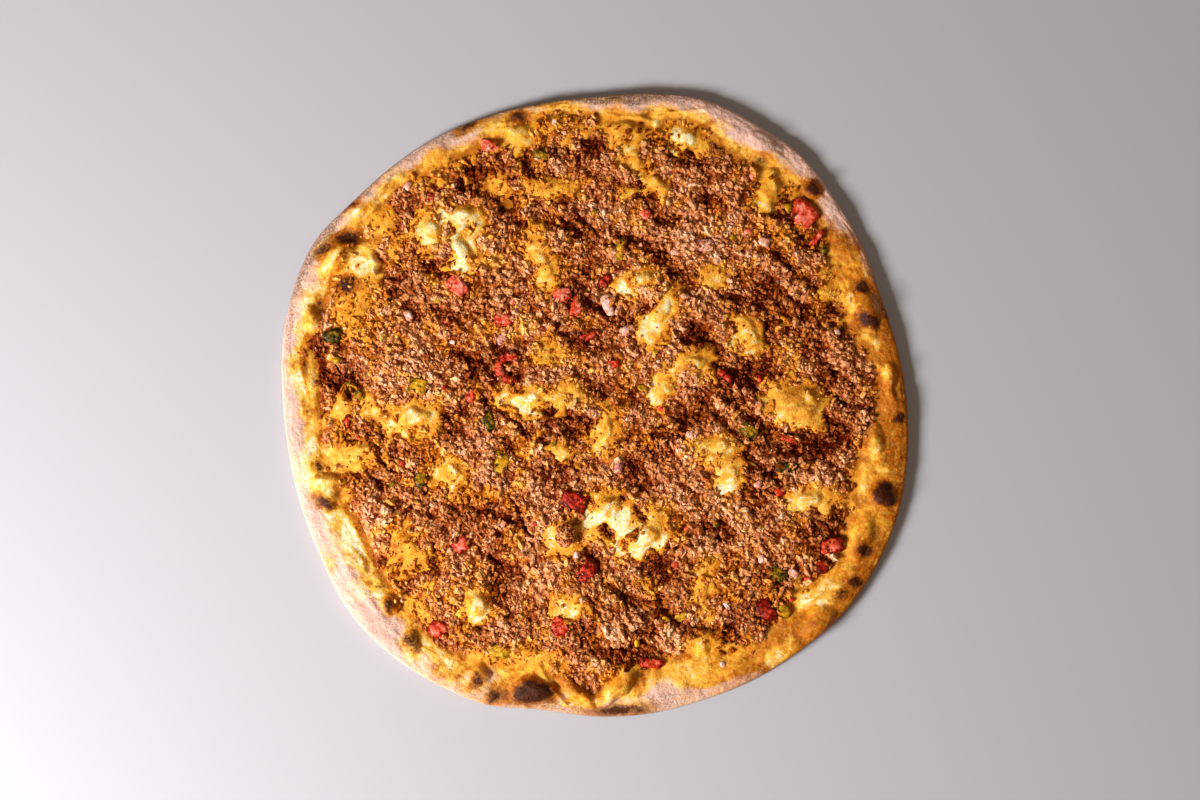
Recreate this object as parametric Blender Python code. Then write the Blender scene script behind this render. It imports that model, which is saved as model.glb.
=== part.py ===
"""Sfiha, a thin round flatbread baked under a layer of minced meat, diced tomato, green pepper and onion.

The bread lies flat on its underside, with Z up and the origin under its middle. Run it with
blender --background --python part.py, or from Blender's text editor.
"""

import math
import random

import bmesh
import bpy
from mathutils import Matrix, Vector, noise

MM = 0.001

# Driving sizes, in millimetres. The edge of the bread and the edge of its topping are radii about the
# origin, one every 10 degrees anticlockwise from +X.
EDGE_RADII = (
    155, 153, 152, 154.5, 157, 161, 161, 161.5, 157.5, 153.5, 152.5, 153,
    154.5, 155.5, 157, 161, 160, 157.5, 154.5, 153.5, 154, 155.5, 159, 160,
    159, 158, 153.5, 154.5, 155.5, 156, 157.5, 159, 161, 161, 160, 157.5,
)  # fmt: skip
TOPPING_RADII = (
    141, 136, 133, 138, 144, 146, 142, 149, 143, 144, 147, 141,
    141, 144, 145, 146, 143, 148, 140, 137, 134, 133, 136, 139,
    142, 138, 136, 145, 135, 133, 144, 143, 139, 145, 136, 134,
)  # fmt: skip
CRUMB_TOP = 4.0  # top of the bread under its topping
RIM_RISE = 3.6  # of the widest rim above that
WIDEST_RIM = 26.0
MEAT_TOP = 7.8  # away from its mounds and its edge
MEAT_EDGE = 1.9  # thickness at which the meat ends
EDGE_SLOPE = 11.0  # width over which it thins out
FIT_GAP = 0.4  # between a piece and its neighbour
DICE_FOOT = 2.2  # of a dice above the bread
DICE_STAND = 1.0  # of its top above the meat
LEAST_DICE = 2.4  # height of the lowest dice
ROOT = 1.0  # depth to which bubbles reach into the bread
RING_STEPS = 70
SMALL_BUBBLE = 65.0  # half length times half width, under which 8 sides are enough
CURL_LENGTHS = 9
SHARP = math.radians(40)
MEAT_SQUARES = 29
MEAT_ROUGHNESS = 0.8
MEAT_SHUFFLE = 1.5  # by which its points leave their even places
CRUMB_COUNT = 50
CRUMB_SIZES = (2.6, 4.4)
SEED = 12

# Where the meat lies in broad mounds: x, y, half length, half width, turn in degrees, height.
MOUNDS = (
    (3, -103, 26, 12, -28, 2.4),
    (-20, 5, 22, 10, -35, 2.2),
    (30, 58, 22, 13, -35, 2.6),
    (52, 15, 24, 11, -32, 2.2),
    (50, -24, 26, 10, -20, 2.0),
    (-95, 14, 25, 11, -30, 2.2),
    (-84, -14, 15, 11, -20, 1.8),
    (-105, -55, 20, 11, -30, 1.8),
    (-65, -96, 18, 11, -30, 2.2),
    (-70, 78, 20, 15, -30, 2.4),
    (-24, 84, 11, 17, 20, 2.0),
    (99, -2, 17, 13, -30, 2.2),
    (104, 30, 16, 12, -30, 1.6),
    (42, -118, 16, 9, -10, 1.6),
    (16, -58, 19, 13, -20, 2.0),
)

# Bubbles of bare dough that push up through the meat: x, y, half length, half width, turn, and how
# far the top stands above the meat around it.
BUBBLES = (
    (-66, 74, 12, 8, -35, 1.8),
    (-67, 92, 11, 6, 0, 1.4),
    (-81, 84, 5, 9, 15, 1.4),
    (-38, 133.5, 8.5, 6, 35, 1.6),
    (12, 136, 11, 6, 0, 1.6),
    (20, 122, 5, 9, 12, 1.6),
    (31, 109, 12, 5, -38, 1.6),
    (45, 131, 7, 7, 0, 1.4),
    (-20, 107, 12, 6, 10, 1.2),
    (-26, 69, 6, 13, 12, 1.4),
    (22, 60, 12, 5.5, 22, 2.0),
    (34, 46, 7, 12, -20, 1.8),
    (-89, -8, 17, 9, 8, 1.8),
    (-116, -26, 13, 5.5, 2, 1.4),
    (-70, -36, 8, 9, 30, 1.4),
    (-32, 2, 14, 5.5, -3, 1.8),
    (35, 8, 6, 9, -30, 1.6),
    (50, 17, 11, 8, 20, 1.6),
    (5, -13, 7, 10, 0, 1.4),
    (75, 34, 8, 11, 20, 1.6),
    (100, 0, 17, 11, -20, 2.4),
    (67, -37, 6.5, 10, -10, 1.8),
    (62, -22, 8, 5, -10, 1.4),
    (8, -52, 10, 9, 0, 2.0),
    (24, -65, 15, 8, 5, 1.8),
    (-15, -66, 9, 10, 0, 1.4),
    (105, -48, 10, 7, 10, 1.6),
    (-92, -70, 12, 8, -35, 1.4),
    (-59, -99, 10, 8, 0, 1.8),
    (54, -90, 6, 11, 5, 1.4),
    (53, -120, 6.5, 6.5, 0, 1.2),
    (87, 108, 7.5, 12, -15, 1.8),
    (111, -94, 12, 5, 22, 1.4),
)

# Folds and blisters of the bare rim: x, y, half length, half width, turn, and the height of the top.
RIM_LUMPS = (
    (-128, 72, 13, 8, 40, 9.5),
    (-142, 43, 6, 8, -10, 9.5),
    (-133, -43, 9, 12, -5, 9.5),
    (-101, -99, 5, 7, -15, 8.5),
    (-119, -79, 8, 15, 35, 8.5),
    (-90, -118, 6, 9, 45, 8.5),
    (-57, -134, 9, 7, -10, 9.0),
    (-31, -142, 12, 7, -5, 10.0),
    (-11, -141, 13, 4, -42, 9.5),
    (11, -141, 13, 4, 36, 9.5),
    (109, -107, 13, 9, 48, 10.5),
    (132, -66, 6, 16, -18, 9.5),
    (143, -46, 7.5, 7.5, 0, 11.0),
    (138, -19, 7, 9, -20, 9.5),
    (146, 9, 5, 14, 10, 9.0),
    (136, 44, 7, 14, 12, 10.0),
    (108, 107, 6, 6, 0, 9.0),
    (84, 127, 15, 7, -40, 8.5),
)

# The lump of meat that sits alone on a bubble: x, y, radius, and its height as a share of its width.
MINCE_LUMP = (-14.5, -65, 5.2, 0.62)

# Diced vegetables as large as berries: x, y, length, width, turn.
TOMATO_DICE = (
    (-67, 58, 10, 8, -50),
    (-16, 54, 9.5, 6.5, 15),
    (103.5, 93.5, 12.5, 10, -38),
    (-10, -48.5, 12, 8.5, -20),
    (-77, -112, 10, 8, -30),
    (-4, -83, 12, 8, 50),
    (-17, -110, 10, 7.5, -60),
    (117, -70.5, 10, 6.5, 5),
    (112, -80.5, 9, 6, -15),
    (84.5, -102, 11.5, 7, -65),
    (28, -128, 11, 5, -8),
    (96, -18, 9.5, 3.2, -15),
    (110.5, 82, 10, 3.2, 50),
    (-9, 47, 10, 5, 70),
    (-45, 41, 9.5, 6, 0),
    (5, 60, 8, 5, 60),
    (-52, 127.5, 9.5, 5.5, -12),
    (-66, -70, 8.5, 7, 40),
    (-3, 33, 9.5, 4, 25),
)
PEPPER_DICE = (
    (-87, 9, 10.5, 9, -20),
    (-118, 6, 12, 4, -50),
    (-129, 33, 8.5, 6, 20),
    (13, 76, 10, 4.2, 85),
    (-26, 123, 8.5, 4.5, -15),
    (-46, -30, 11, 7, 80),
    (-47, -122, 11, 6, -15),
    (95, -32, 10.5, 4.5, -5),
    (77, -14, 8.5, 5, -30),
    (90, -84, 10.5, 6, -40),
    (-86, -38, 8.5, 6.5, 60),
    (-52, -9, 10.5, 8, -60),
    (92.5, -101.5, 9.5, 5, -50),
)
ONION_DICE = (
    (7, 48, 10, 5, -75),
    (16, 36, 8.5, 4.5, 20),
    (55, 78, 9.5, 5.5, 0),
)
# The curled slice of tomato: middle, radius of the curl, width, and the directions of its two ends.
TOMATO_CURL = (-41.5, 17, 5.8, 4.0, 50, 300)
# Smaller dice, joined to the meat: x, y, size.
SMALL_DICE = (
    (-61, 4, 6.5), (-128, 21, 6), (43, -105, 6), (-46, 32, 6), (98, -84, 5.5), (-74, 7, 5.5),
    (-84, 21, 6), (25, 94, 6), (10, 19, 6), (66, 12, 6), (91.5, -44, 5), (-122, -9, 6),
    (12, -32, 6), (24, 7, 5.5), (84, 80, 6), (-82, 101, 5.5),
)  # fmt: skip


def clear_scene():
    for thing in list(bpy.data.objects):
        bpy.data.objects.remove(thing, do_unlink=True)


def new_collection(name, helper=False):
    group = bpy.data.collections.new(name)
    group.hide_render = helper
    bpy.context.scene.collection.children.link(group)
    return group


def food_material(name, colour, roughness):
    made = bpy.data.materials.new(name)
    made.use_nodes = True
    shader = made.node_tree.nodes["Principled BSDF"]
    shader.inputs["Base Color"].default_value = (*colour, 1.0)
    shader.inputs["Roughness"].default_value = roughness
    shader.inputs["Metallic"].default_value = 0.0
    made.diffuse_color = (*colour, 1.0)
    return made


def add_object(name, shape, group, material=None):
    """An object from a bmesh in millimetres, in its collection."""
    bmesh.ops.recalc_face_normals(shape, faces=shape.faces)
    bmesh.ops.transform(shape, matrix=Matrix.Scale(MM, 4), verts=shape.verts)
    mesh = bpy.data.meshes.new(name)
    shape.to_mesh(mesh)
    shape.free()
    made = bpy.data.objects.new(name, mesh)
    group.objects.link(made)
    if material:
        mesh.materials.append(material)
    if group.hide_render:
        made.hide_render = True
        made.display_type = "WIRE"
    return made


def radius_at(radii, angle):
    """A smooth closed curve through evenly spaced radii (Catmull-Rom), at an angle in radians."""
    place = angle / math.tau % 1.0 * len(radii)
    first = int(place)
    t = place - first
    a, b, c, d = (radii[(first + k) % len(radii)] for k in (-1, 0, 1, 2))
    return b + 0.5 * t * (c - a + t * (2 * a - 5 * b + 4 * c - d + t * (3 * (b - c) + d - a)))


def smooth_step(t):
    t = min(max(t, 0.0), 1.0)
    return t * t * (3 - 2 * t)


def turned(x, y, degrees):
    """A point seen along axes that are turned by this much."""
    a = math.radians(degrees)
    return x * math.cos(a) + y * math.sin(a), y * math.cos(a) - x * math.sin(a)


def rim_width(angle):
    return radius_at(EDGE_RADII, angle) - radius_at(TOPPING_RADII, angle)


def rim_height(angle):
    """The bare rim is higher where it is wider, and swells and sinks a little along its length."""
    share = min(rim_width(angle) / WIDEST_RIM, 1.0)
    around = Vector((math.cos(angle), math.sin(angle), 0.0))
    swell = noise.noise(around * 3.1) + 0.6 * noise.noise(around * 9.0)
    return CRUMB_TOP + RIM_RISE * (0.45 + 0.55 * share) + 0.9 * swell


def meat_height(x, y):
    """The top of the meat, without its crumbs: level, with mounds, and thinner towards its edge."""
    z = MEAT_TOP + 0.6 * noise.noise(Vector((x, y, 0)) * 0.045)
    for mx, my, length, width, turn, height in MOUNDS:
        u, v = turned(x - mx, y - my, turn)
        z += height * math.exp(-((u / length) ** 2) - (v / width) ** 2)
    inside = radius_at(TOPPING_RADII, math.atan2(y, x)) - math.hypot(x, y)
    edge = CRUMB_TOP + FIT_GAP + MEAT_EDGE
    return edge + (z - edge) * smooth_step(inside / EDGE_SLOPE)


def ringed(sides, bands, where):
    """A closed round shape: ring by ring and side by side, a ball's points move to where(ring,
    angle) says. Ring 0 is its top point, and ring bands the point of its underside."""
    shape = bmesh.new()
    bmesh.ops.create_uvsphere(shape, u_segments=sides, v_segments=bands, radius=1.0)
    for vertex in shape.verts:
        ring = round(math.acos(max(-1.0, min(1.0, vertex.co.z))) / math.pi * bands)
        vertex.co = where(ring, math.atan2(vertex.co.y, vertex.co.x))
    return shape


def bread_disc():
    """From the middle of its top, over the rim and round the edge, to the middle of its underside."""
    # Each ring's inset from the edge, as a share of the rim's width plus a length, and its height as
    # a share of the crumb's thickness plus a share of the rim's rise.
    rings = (
        (0.0, 0.0, 1.0, 0.0),
        (1.0, -1.3, 1.0, 0.0),
        (0.74, 0.0, 1.0, 0.78),
        (0.48, 0.0, 1.0, 1.0),
        (0.22, 0.0, 1.0, 0.86),
        (0.0, 0.9, 0.75, 0.45),
        (0.0, 0.0, 0.45, 0.12),
        (0.0, 0.8, 0.15, 0.0),
        (0.0, 3.4, 0.0, 0.0),
        (0.0, 0.0, 0.0, 0.0),
    )
    middle = (0, len(rings) - 1)

    def where(ring, angle):
        share, inset, crumb, rise = rings[ring]
        height = crumb * CRUMB_TOP + rise * (rim_height(angle) - CRUMB_TOP)
        radius = radius_at(EDGE_RADII, angle) - share * rim_width(angle) - inset
        radius = 0.0 if ring in middle else radius
        return radius * math.cos(angle), radius * math.sin(angle), height

    return ringed(RING_STEPS, len(rings) - 1, where)


def blister(x, y, length, width, turn, base, top, room=False):
    """A bubble in the dough: steep sides that lean in a little, and a round top. Its room is what the
    meat leaves free around it: the same sides, moved out and run on upwards."""
    rings = ((0.0, 1.0), (0.52, 0.93), (0.86, 0.62), (1.0, 0.0), (0.0, 0.0))
    if room:
        rings = ((0.0, 1.3), (0.71, 1.3), (1.0, 0.0), (0.0, 0.0))
    sides = 8 if length * width < SMALL_BUBBLE else 11
    place = Vector((x, y, 0.0))

    def where(ring, angle):
        share, rise = rings[ring]
        around = Vector((math.cos(angle), math.sin(angle), 0.0))
        out = 1.3 * FIT_GAP if room and share else 0.0
        share *= 1.08 + 0.16 * noise.noise(around * 1.3 + place)
        u, v = turned((share * length + out) * around.x, (share * width + out) * around.y, -turn)
        return x + u, y + v, base + rise * (top - base)

    return ringed(sides, len(rings) - 1, where)


def bubble(x, y, length, width, turn, stand, room=False):
    top = meat_height(x, y) + stand
    return blister(x, y, length, width, turn, CRUMB_TOP - ROOT, top, room)


def rim_lump(x, y, length, width, turn, top, room=False):
    return blister(x, y, length, width, turn, CRUMB_TOP - ROOT, top, room)


def disc_place(u, v):
    """Radius and angle on a disc of radius 1 of a point in a square from -1 to 1: nested squares
    become nested circles, so that the squares of a grid stay nearly even."""
    if abs(u) > abs(v):
        return u, math.pi / 4 * v / u
    return (v, math.pi / 2 - math.pi / 4 * u / v) if v else (0.0, 0.0)


def meat_slab():
    """The layer of meat before it is cut: a square grid laid over a disc, on a flat foot."""
    shape = bmesh.new()
    bmesh.ops.create_grid(shape, x_segments=MEAT_SQUARES, y_segments=MEAT_SQUARES, size=1.0)
    rough = random.Random(SEED)
    for vertex in shape.verts:
        share, angle = disc_place(vertex.co.x, vertex.co.y)
        reach = share * radius_at(TOPPING_RADII, angle + (math.pi if share < 0 else 0.0))
        x, y = reach * math.cos(angle), reach * math.sin(angle)
        if vertex.is_boundary:
            vertex.co = (x, y, meat_height(x, y))
        else:
            x += MEAT_SHUFFLE * rough.uniform(-1, 1)
            y += MEAT_SHUFFLE * rough.uniform(-1, 1)
            vertex.co = (x, y, meat_height(x, y) + MEAT_ROUGHNESS * rough.uniform(-1, 1))
    edge = [e for e in shape.edges if e.is_boundary]
    wall = bmesh.ops.extrude_edge_only(shape, edges=edge)["geom"]
    for vertex in (g for g in wall if isinstance(g, bmesh.types.BMVert)):
        vertex.co.z = CRUMB_TOP + FIT_GAP
    foot = [g for g in wall if isinstance(g, bmesh.types.BMEdge) and g.is_boundary]
    bmesh.ops.edgeloop_fill(shape, edges=foot)
    return shape


def dice_span(x, y):
    """The heights between which a dice lies: its foot in the meat, its top just above it."""
    top = meat_height(x, y) + DICE_STAND
    return min(CRUMB_TOP + DICE_FOOT, top - LEAST_DICE), top


def dice(x, y, length, width, turn):
    """A dice of vegetable with cut corners, one end wider and one side longer than the other."""
    foot, top = dice_span(x, y)
    shape = bmesh.new()
    bmesh.ops.create_cube(shape, size=2.0)
    for vertex in shape.verts:
        u, v, w = vertex.co
        vertex.co.x = 0.5 * length * u * (0.92 + 0.08 * v * math.cos(y))
        vertex.co.y = 0.5 * width * v * (0.9 + 0.1 * u * math.sin(x))
        vertex.co.z = 0.5 * (top - foot) * w
    edges = shape.edges[:] + shape.verts[:]
    cut = min(0.2 * width, 0.3 * (top - foot))
    bmesh.ops.bevel(shape, geom=edges, offset=cut, segments=1, profile=0.5, affect="EDGES")
    move = Matrix.Translation((x, y, 0.5 * (foot + top))) @ Matrix.Rotation(math.radians(turn), 4, "Z")
    bmesh.ops.transform(shape, matrix=move, verts=shape.verts)
    return shape


def dice_room(x, y, length, width, turn):
    """The pocket in the meat: a box with a gap on every side of the dice, open above."""
    foot, top = dice_span(x, y)
    shape = bmesh.new()
    bmesh.ops.create_cube(shape, size=2.0)
    for vertex in shape.verts:
        vertex.co.x *= 0.5 * length + FIT_GAP
        vertex.co.y *= 0.5 * width + FIT_GAP
        vertex.co.z = foot - FIT_GAP if vertex.co.z < 0 else top + 4.0
    move = Matrix.Translation((x, y, 0.0)) @ Matrix.Rotation(math.radians(turn), 4, "Z")
    bmesh.ops.transform(shape, matrix=move, verts=shape.verts)
    return shape


def curl(x, y, radius, width, first, last, grow=0.0):
    """A narrow slice bent along an arc: a flat bar of short lengths, wrapped round the middle."""
    foot, top = dice_span(x, y)
    shape = bmesh.new()
    bmesh.ops.create_grid(shape, x_segments=CURL_LENGTHS, y_segments=1, size=1.0)
    made = bmesh.ops.extrude_face_region(shape, geom=shape.faces[:])["geom"]
    upper = {g for g in made if isinstance(g, bmesh.types.BMVert)}
    half_turn = 0.5 * math.radians(last - first) + grow / radius
    for vertex in shape.verts:
        u, v, _ = vertex.co
        angle = math.radians(0.5 * (first + last)) + u * half_turn
        out = radius + v * (0.5 * width * (1.0 - 0.4 * u * u) + grow)
        z = top + 4 * grow if vertex in upper else foot - grow
        vertex.co = (x + out * math.cos(angle), y + out * math.sin(angle), z)
    return shape


def lump(x, y, z, size, flat, detail=1):
    """A crumb of meat: an uneven ball with few sides."""
    shape = bmesh.new()
    bmesh.ops.create_icosphere(shape, subdivisions=detail, radius=size)
    place = Vector((x, y, z))
    for vertex in shape.verts:
        vertex.co *= 1.0 + 0.3 * noise.noise(vertex.co.normalized() * 1.3 + place)
        vertex.co.y *= 0.85
        vertex.co.z *= flat
    move = Matrix.Translation(place) @ Matrix.Rotation(x + y, 4, "Z")
    bmesh.ops.transform(shape, matrix=move, verts=shape.verts)
    return shape


def is_bare(x, y, reach):
    """Whether this place, or one this near to it, is dough or the meat's edge."""
    inside = radius_at(TOPPING_RADII, math.atan2(y, x)) - math.hypot(x, y)
    for bx, by, length, width, turn, _ in BUBBLES + RIM_LUMPS:
        u, v = turned(x - bx, y - by, turn)
        if (u / (1.25 * length + reach)) ** 2 + (v / (1.25 * width + reach)) ** 2 < 1:
            return True
    return inside < reach + MEAT_EDGE


def crumb_places(taken):
    """Where the largest crumbs of the mince lie, and their sizes: each is the draw, of several, that
    is farthest from those before it. Taken places are given as x, y, reach."""
    draw = random.Random(SEED)
    placed = []
    while len(placed) < CRUMB_COUNT:
        size = draw.uniform(*CRUMB_SIZES)
        best = None
        for _ in range(14):
            out, angle = math.sqrt(draw.random()) * max(TOPPING_RADII), draw.uniform(0, math.tau)
            x, y = out * math.cos(angle), out * math.sin(angle)
            free = all(math.hypot(x - tx, y - ty) > size + reach for tx, ty, reach in taken)
            apart = min([math.hypot(x - px, y - py) for px, py, _ in placed], default=math.inf)
            if free and not is_bare(x, y, size) and (best is None or apart > best[0]):
                best = (apart, x, y)
        if best:
            placed.append((*best[1:], size))
    return placed


def combine(target, collection, operation):
    """One Boolean with a whole collection, applied to the target. The collection is then emptied."""
    modifier = target.modifiers.new(operation.title(), "BOOLEAN")
    modifier.operation = operation
    modifier.operand_type = "COLLECTION"
    modifier.collection = collection
    evaluated = target.evaluated_get(bpy.context.evaluated_depsgraph_get())
    solid = bpy.data.meshes.new_from_object(evaluated)
    solid.shade_smooth()
    solid.set_sharp_from_angle(angle=SHARP)
    target.modifiers.clear()
    target.data = solid
    for thing in list(collection.objects):
        bpy.data.objects.remove(thing, do_unlink=True)


def drop_scraps(target):
    """Keeps the largest piece of a mesh that a cut has left in several."""
    shape = bmesh.new()
    shape.from_mesh(target.data)
    left = set(shape.verts)
    pieces = []
    while left:
        piece, front = set(), [next(iter(left))]
        while front:
            vertex = front.pop()
            if vertex not in piece:
                piece.add(vertex)
                front.extend(e.other_vert(vertex) for e in vertex.link_edges)
        pieces.append(piece)
        left -= piece
    for piece in sorted(pieces, key=len)[:-1]:
        bmesh.ops.delete(shape, geom=list(piece), context="VERTS")
    shape.to_mesh(target.data)
    shape.free()


def build():
    clear_scene()
    sfiha = new_collection("sfiha")
    cutters = new_collection("cutters", helper=True)
    joined = new_collection("joined", helper=True)
    baked = food_material("baked_dough", (0.80, 0.56, 0.30), 0.75)
    mince = food_material("minced_meat", (0.27, 0.11, 0.05), 0.6)

    bread = add_object("bread", bread_disc(), sfiha, baked)
    for spot in BUBBLES:
        add_object("bubble", bubble(*spot), joined)
        add_object("bubble_room", bubble(*spot, room=True), cutters)
    for spot in RIM_LUMPS:
        add_object("rim_lump", rim_lump(*spot), joined)
        add_object("rim_lump_room", rim_lump(*spot, room=True), cutters)
    combine(bread, joined, "UNION")
    x, y, size, flat = MINCE_LUMP
    z = meat_height(x, y) + 2.0
    add_object("mince_lump", lump(x, y, z, size, flat, detail=2), sfiha, mince)
    add_object("lump_room", lump(x, y, z, size + 1.5 * FIT_GAP, flat, detail=2), joined)
    combine(bread, joined, "DIFFERENCE")

    for name, spots, colour in (
        ("tomato", TOMATO_DICE, (0.68, 0.08, 0.04)),
        ("green_pepper", PEPPER_DICE, (0.30, 0.34, 0.04)),
        ("onion", ONION_DICE, (0.72, 0.52, 0.45)),
    ):
        finish = food_material(name, colour, 0.35)
        for number, spot in enumerate(spots, 1):
            add_object(f"{name}_{number:02d}", dice(*spot), sfiha, finish)
            add_object("dice_room", dice_room(*spot), cutters)
    add_object("tomato_curl", curl(*TOMATO_CURL), sfiha, bpy.data.materials["tomato"])
    add_object("curl_room", curl(*TOMATO_CURL, grow=FIT_GAP), cutters)

    meat = add_object("meat", meat_slab(), sfiha, mince)
    combine(meat, cutters, "DIFFERENCE")
    drop_scraps(meat)
    taken = [(x, y, 0.6 * length) for x, y, length, *_ in TOMATO_DICE + PEPPER_DICE + ONION_DICE]
    taken += [(x, y, 0.7 * size) for x, y, size in SMALL_DICE]
    taken.append((*TOMATO_CURL[:2], sum(TOMATO_CURL[2:4])))
    for x, y, size in SMALL_DICE:
        add_object("small_dice", lump(x, y, meat_height(x, y), 0.55 * size, 0.8), joined)
    for x, y, size in crumb_places(taken):
        add_object("crumb", lump(x, y, meat_height(x, y), size, 0.75), joined)
    combine(meat, joined, "UNION")


build()
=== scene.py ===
# %% [markdown]
# # A sfiha from above
#
# A sfiha is a thin round of bread dough, baked in a very hot oven under a layer of minced meat with
# diced tomato, green pepper and onion. It is uneven everywhere: the edge wanders, bubbles push up
# through the meat, and blisters on the rim scorch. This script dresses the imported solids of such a
# bread. It works out every surface with numpy, in millimetres, in the frame of the solids.

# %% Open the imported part
import math

import bmesh
import bpy
import numpy as np
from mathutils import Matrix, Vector


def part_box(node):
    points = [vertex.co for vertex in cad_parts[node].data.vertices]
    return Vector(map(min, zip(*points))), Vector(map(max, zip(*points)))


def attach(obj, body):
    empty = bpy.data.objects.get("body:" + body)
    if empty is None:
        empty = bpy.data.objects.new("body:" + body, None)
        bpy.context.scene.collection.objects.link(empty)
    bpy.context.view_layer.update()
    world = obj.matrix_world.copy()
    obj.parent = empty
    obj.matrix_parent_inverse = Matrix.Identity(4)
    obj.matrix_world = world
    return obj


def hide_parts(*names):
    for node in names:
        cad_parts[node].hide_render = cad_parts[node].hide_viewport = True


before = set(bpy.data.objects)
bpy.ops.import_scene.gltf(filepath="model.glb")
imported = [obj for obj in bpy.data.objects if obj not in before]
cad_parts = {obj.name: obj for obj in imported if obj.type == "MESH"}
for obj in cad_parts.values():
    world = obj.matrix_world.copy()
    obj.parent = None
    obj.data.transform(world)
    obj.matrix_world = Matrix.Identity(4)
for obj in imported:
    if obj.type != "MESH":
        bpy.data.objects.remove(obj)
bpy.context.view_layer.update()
MM = 0.001

# %% [markdown]
# The driving sizes are those of the solids: the wandering edges of the bread and of its topping, the
# thickness of the dough, the rise of the rim and the level of the meat. The radii go round the bread
# every 10 degrees, from its right-hand side over the far side to the left.

# %% Sizes of the bread and its topping
EDGE_RADII = np.array((
    155, 153, 152, 154.5, 157, 161, 161, 161.5, 157.5, 153.5, 152.5, 153,
    154.5, 155.5, 157, 161, 160, 157.5, 154.5, 153.5, 154, 155.5, 159, 160,
    159, 158, 153.5, 154.5, 155.5, 156, 157.5, 159, 161, 161, 160, 157.5,
))  # fmt: skip
TOPPING_RADII = np.array((
    141, 136, 133, 138, 144, 146, 142, 149, 143, 144, 147, 141,
    141, 144, 145, 146, 143, 148, 140, 137, 134, 133, 136, 139,
    142, 138, 136, 145, 135, 133, 144, 143, 139, 145, 136, 134,
))  # fmt: skip
DOUGH_TOP = 4.0
RIM_RADIUS, RIM_RISE, WIDEST_RIM = 155.0, 3.6, 26.0  # mean radius, most rise, width where it rises most
CREASE_ARC = 38.0  # a turn of 1 radian counts as so many mm, a quarter of what it is on the rim
MEAT_TOP, MEAT_EDGE, EDGE_SLOPE = 7.8, 2.3, 11.0  # level, thickness at the edge, and how wide that slopes
print("radii of the bread:", EDGE_RADII.min(), "to", EDGE_RADII.max(), "mm")

# %% [markdown]
# The topping was spread by hand, so it lies in mounds, with low dark places behind them where the light
# doesn't reach. Each spot here and below is an ellipse, which is enough because noise breaks its edge:
# x, y, half length, half width and turn in degrees, and then what its heading says.

# %% Mounds and hollows of the meat
HOLLOW_MM = 1.25
MOUNDS = (  # and the height
    (3, -103, 26, 12, -28, 2.4), (-20, 5, 22, 10, -35, 2.2), (30, 58, 22, 13, -35, 2.6),
    (52, 15, 24, 11, -32, 2.2), (50, -24, 26, 10, -20, 2.0), (-95, 14, 25, 11, -30, 2.2),
    (-84, -14, 15, 11, -20, 1.8), (-105, -55, 20, 11, -30, 1.8), (-65, -96, 18, 11, -30, 2.2),
    (-70, 78, 20, 15, -30, 2.4), (-24, 84, 11, 17, 20, 2.0), (99, -2, 17, 13, -30, 2.2),
    (104, 30, 16, 12, -30, 1.6), (42, -118, 16, 9, -10, 1.6), (16, -58, 19, 13, -20, 2.0),
)  # fmt: skip
# A hollow's depth also sets how dark its painted shade is.
HOLLOWS = (  # and the depth, counted in HOLLOW_MM
    (25, -99, 19, 5, -27, 1.6), (-126, 31, 9, 5, -40, 1.5), (-71, 43, 12, 4, -20, 1.3),
    (-42, -21, 10, 4, -30, 1.2), (-116, -35, 11, 5, -10, 1.6), (-96, -53, 9, 6, -50, 1.4),
    (-89, -93, 8, 5, -50, 1.4), (0, 8, 15, 4, -40, 1.5), (36, 68, 21, 7, -36, 2.1),
    (57, 31, 8, 4, -45, 1.3), (79, 14, 5, 10, 30, 1.4), (92, -23, 6, 9, 30, 1.5),
    (62, -8, 9, 4, -30, 1.3), (-51, 103, 15, 9, -35, 1.9), (-12, 123, 10, 4, -30, 1.3),
    (-2, 66, 6, 7, 0, 1.2), (-27, 46, 8, 4, -30, 1.0), (-42, -83, 10, 5, -20, 1.4),
    (-17, -127, 10, 4, -30, 1.2), (42, -58, 5, 8, 20, 1.2), (87, -107, 7, 5, -40, 1.2),
    (57, 100, 12, 5, -40, 1.2), (37, 130, 8, 4, -30, 1.0), (107, 81, 6, 7, 30, 1.2),
    (72, 60, 10, 5, -40, 1.2), (115, 15, 5, 10, 20, 1.2), (-25, -38, 10, 3, -40, 0.8),
    (70, -80, 10, 5, -30, 1.0), (-82, -25, 16, 5, -15, 1.3), (-62, 22, 20, 4, -20, 1.3),
    (18, 3, 14, 4, -35, 1.2),
)  # fmt: skip
print(len(MOUNDS), "mounds and", len(HOLLOWS), "hollows")

# %% [markdown]
# Steam lifts the dough into bubbles that break through the meat, and elsewhere the meat was spread too
# thin to hide it. Clumps of meat stay on the bare dough as islands.

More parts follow.
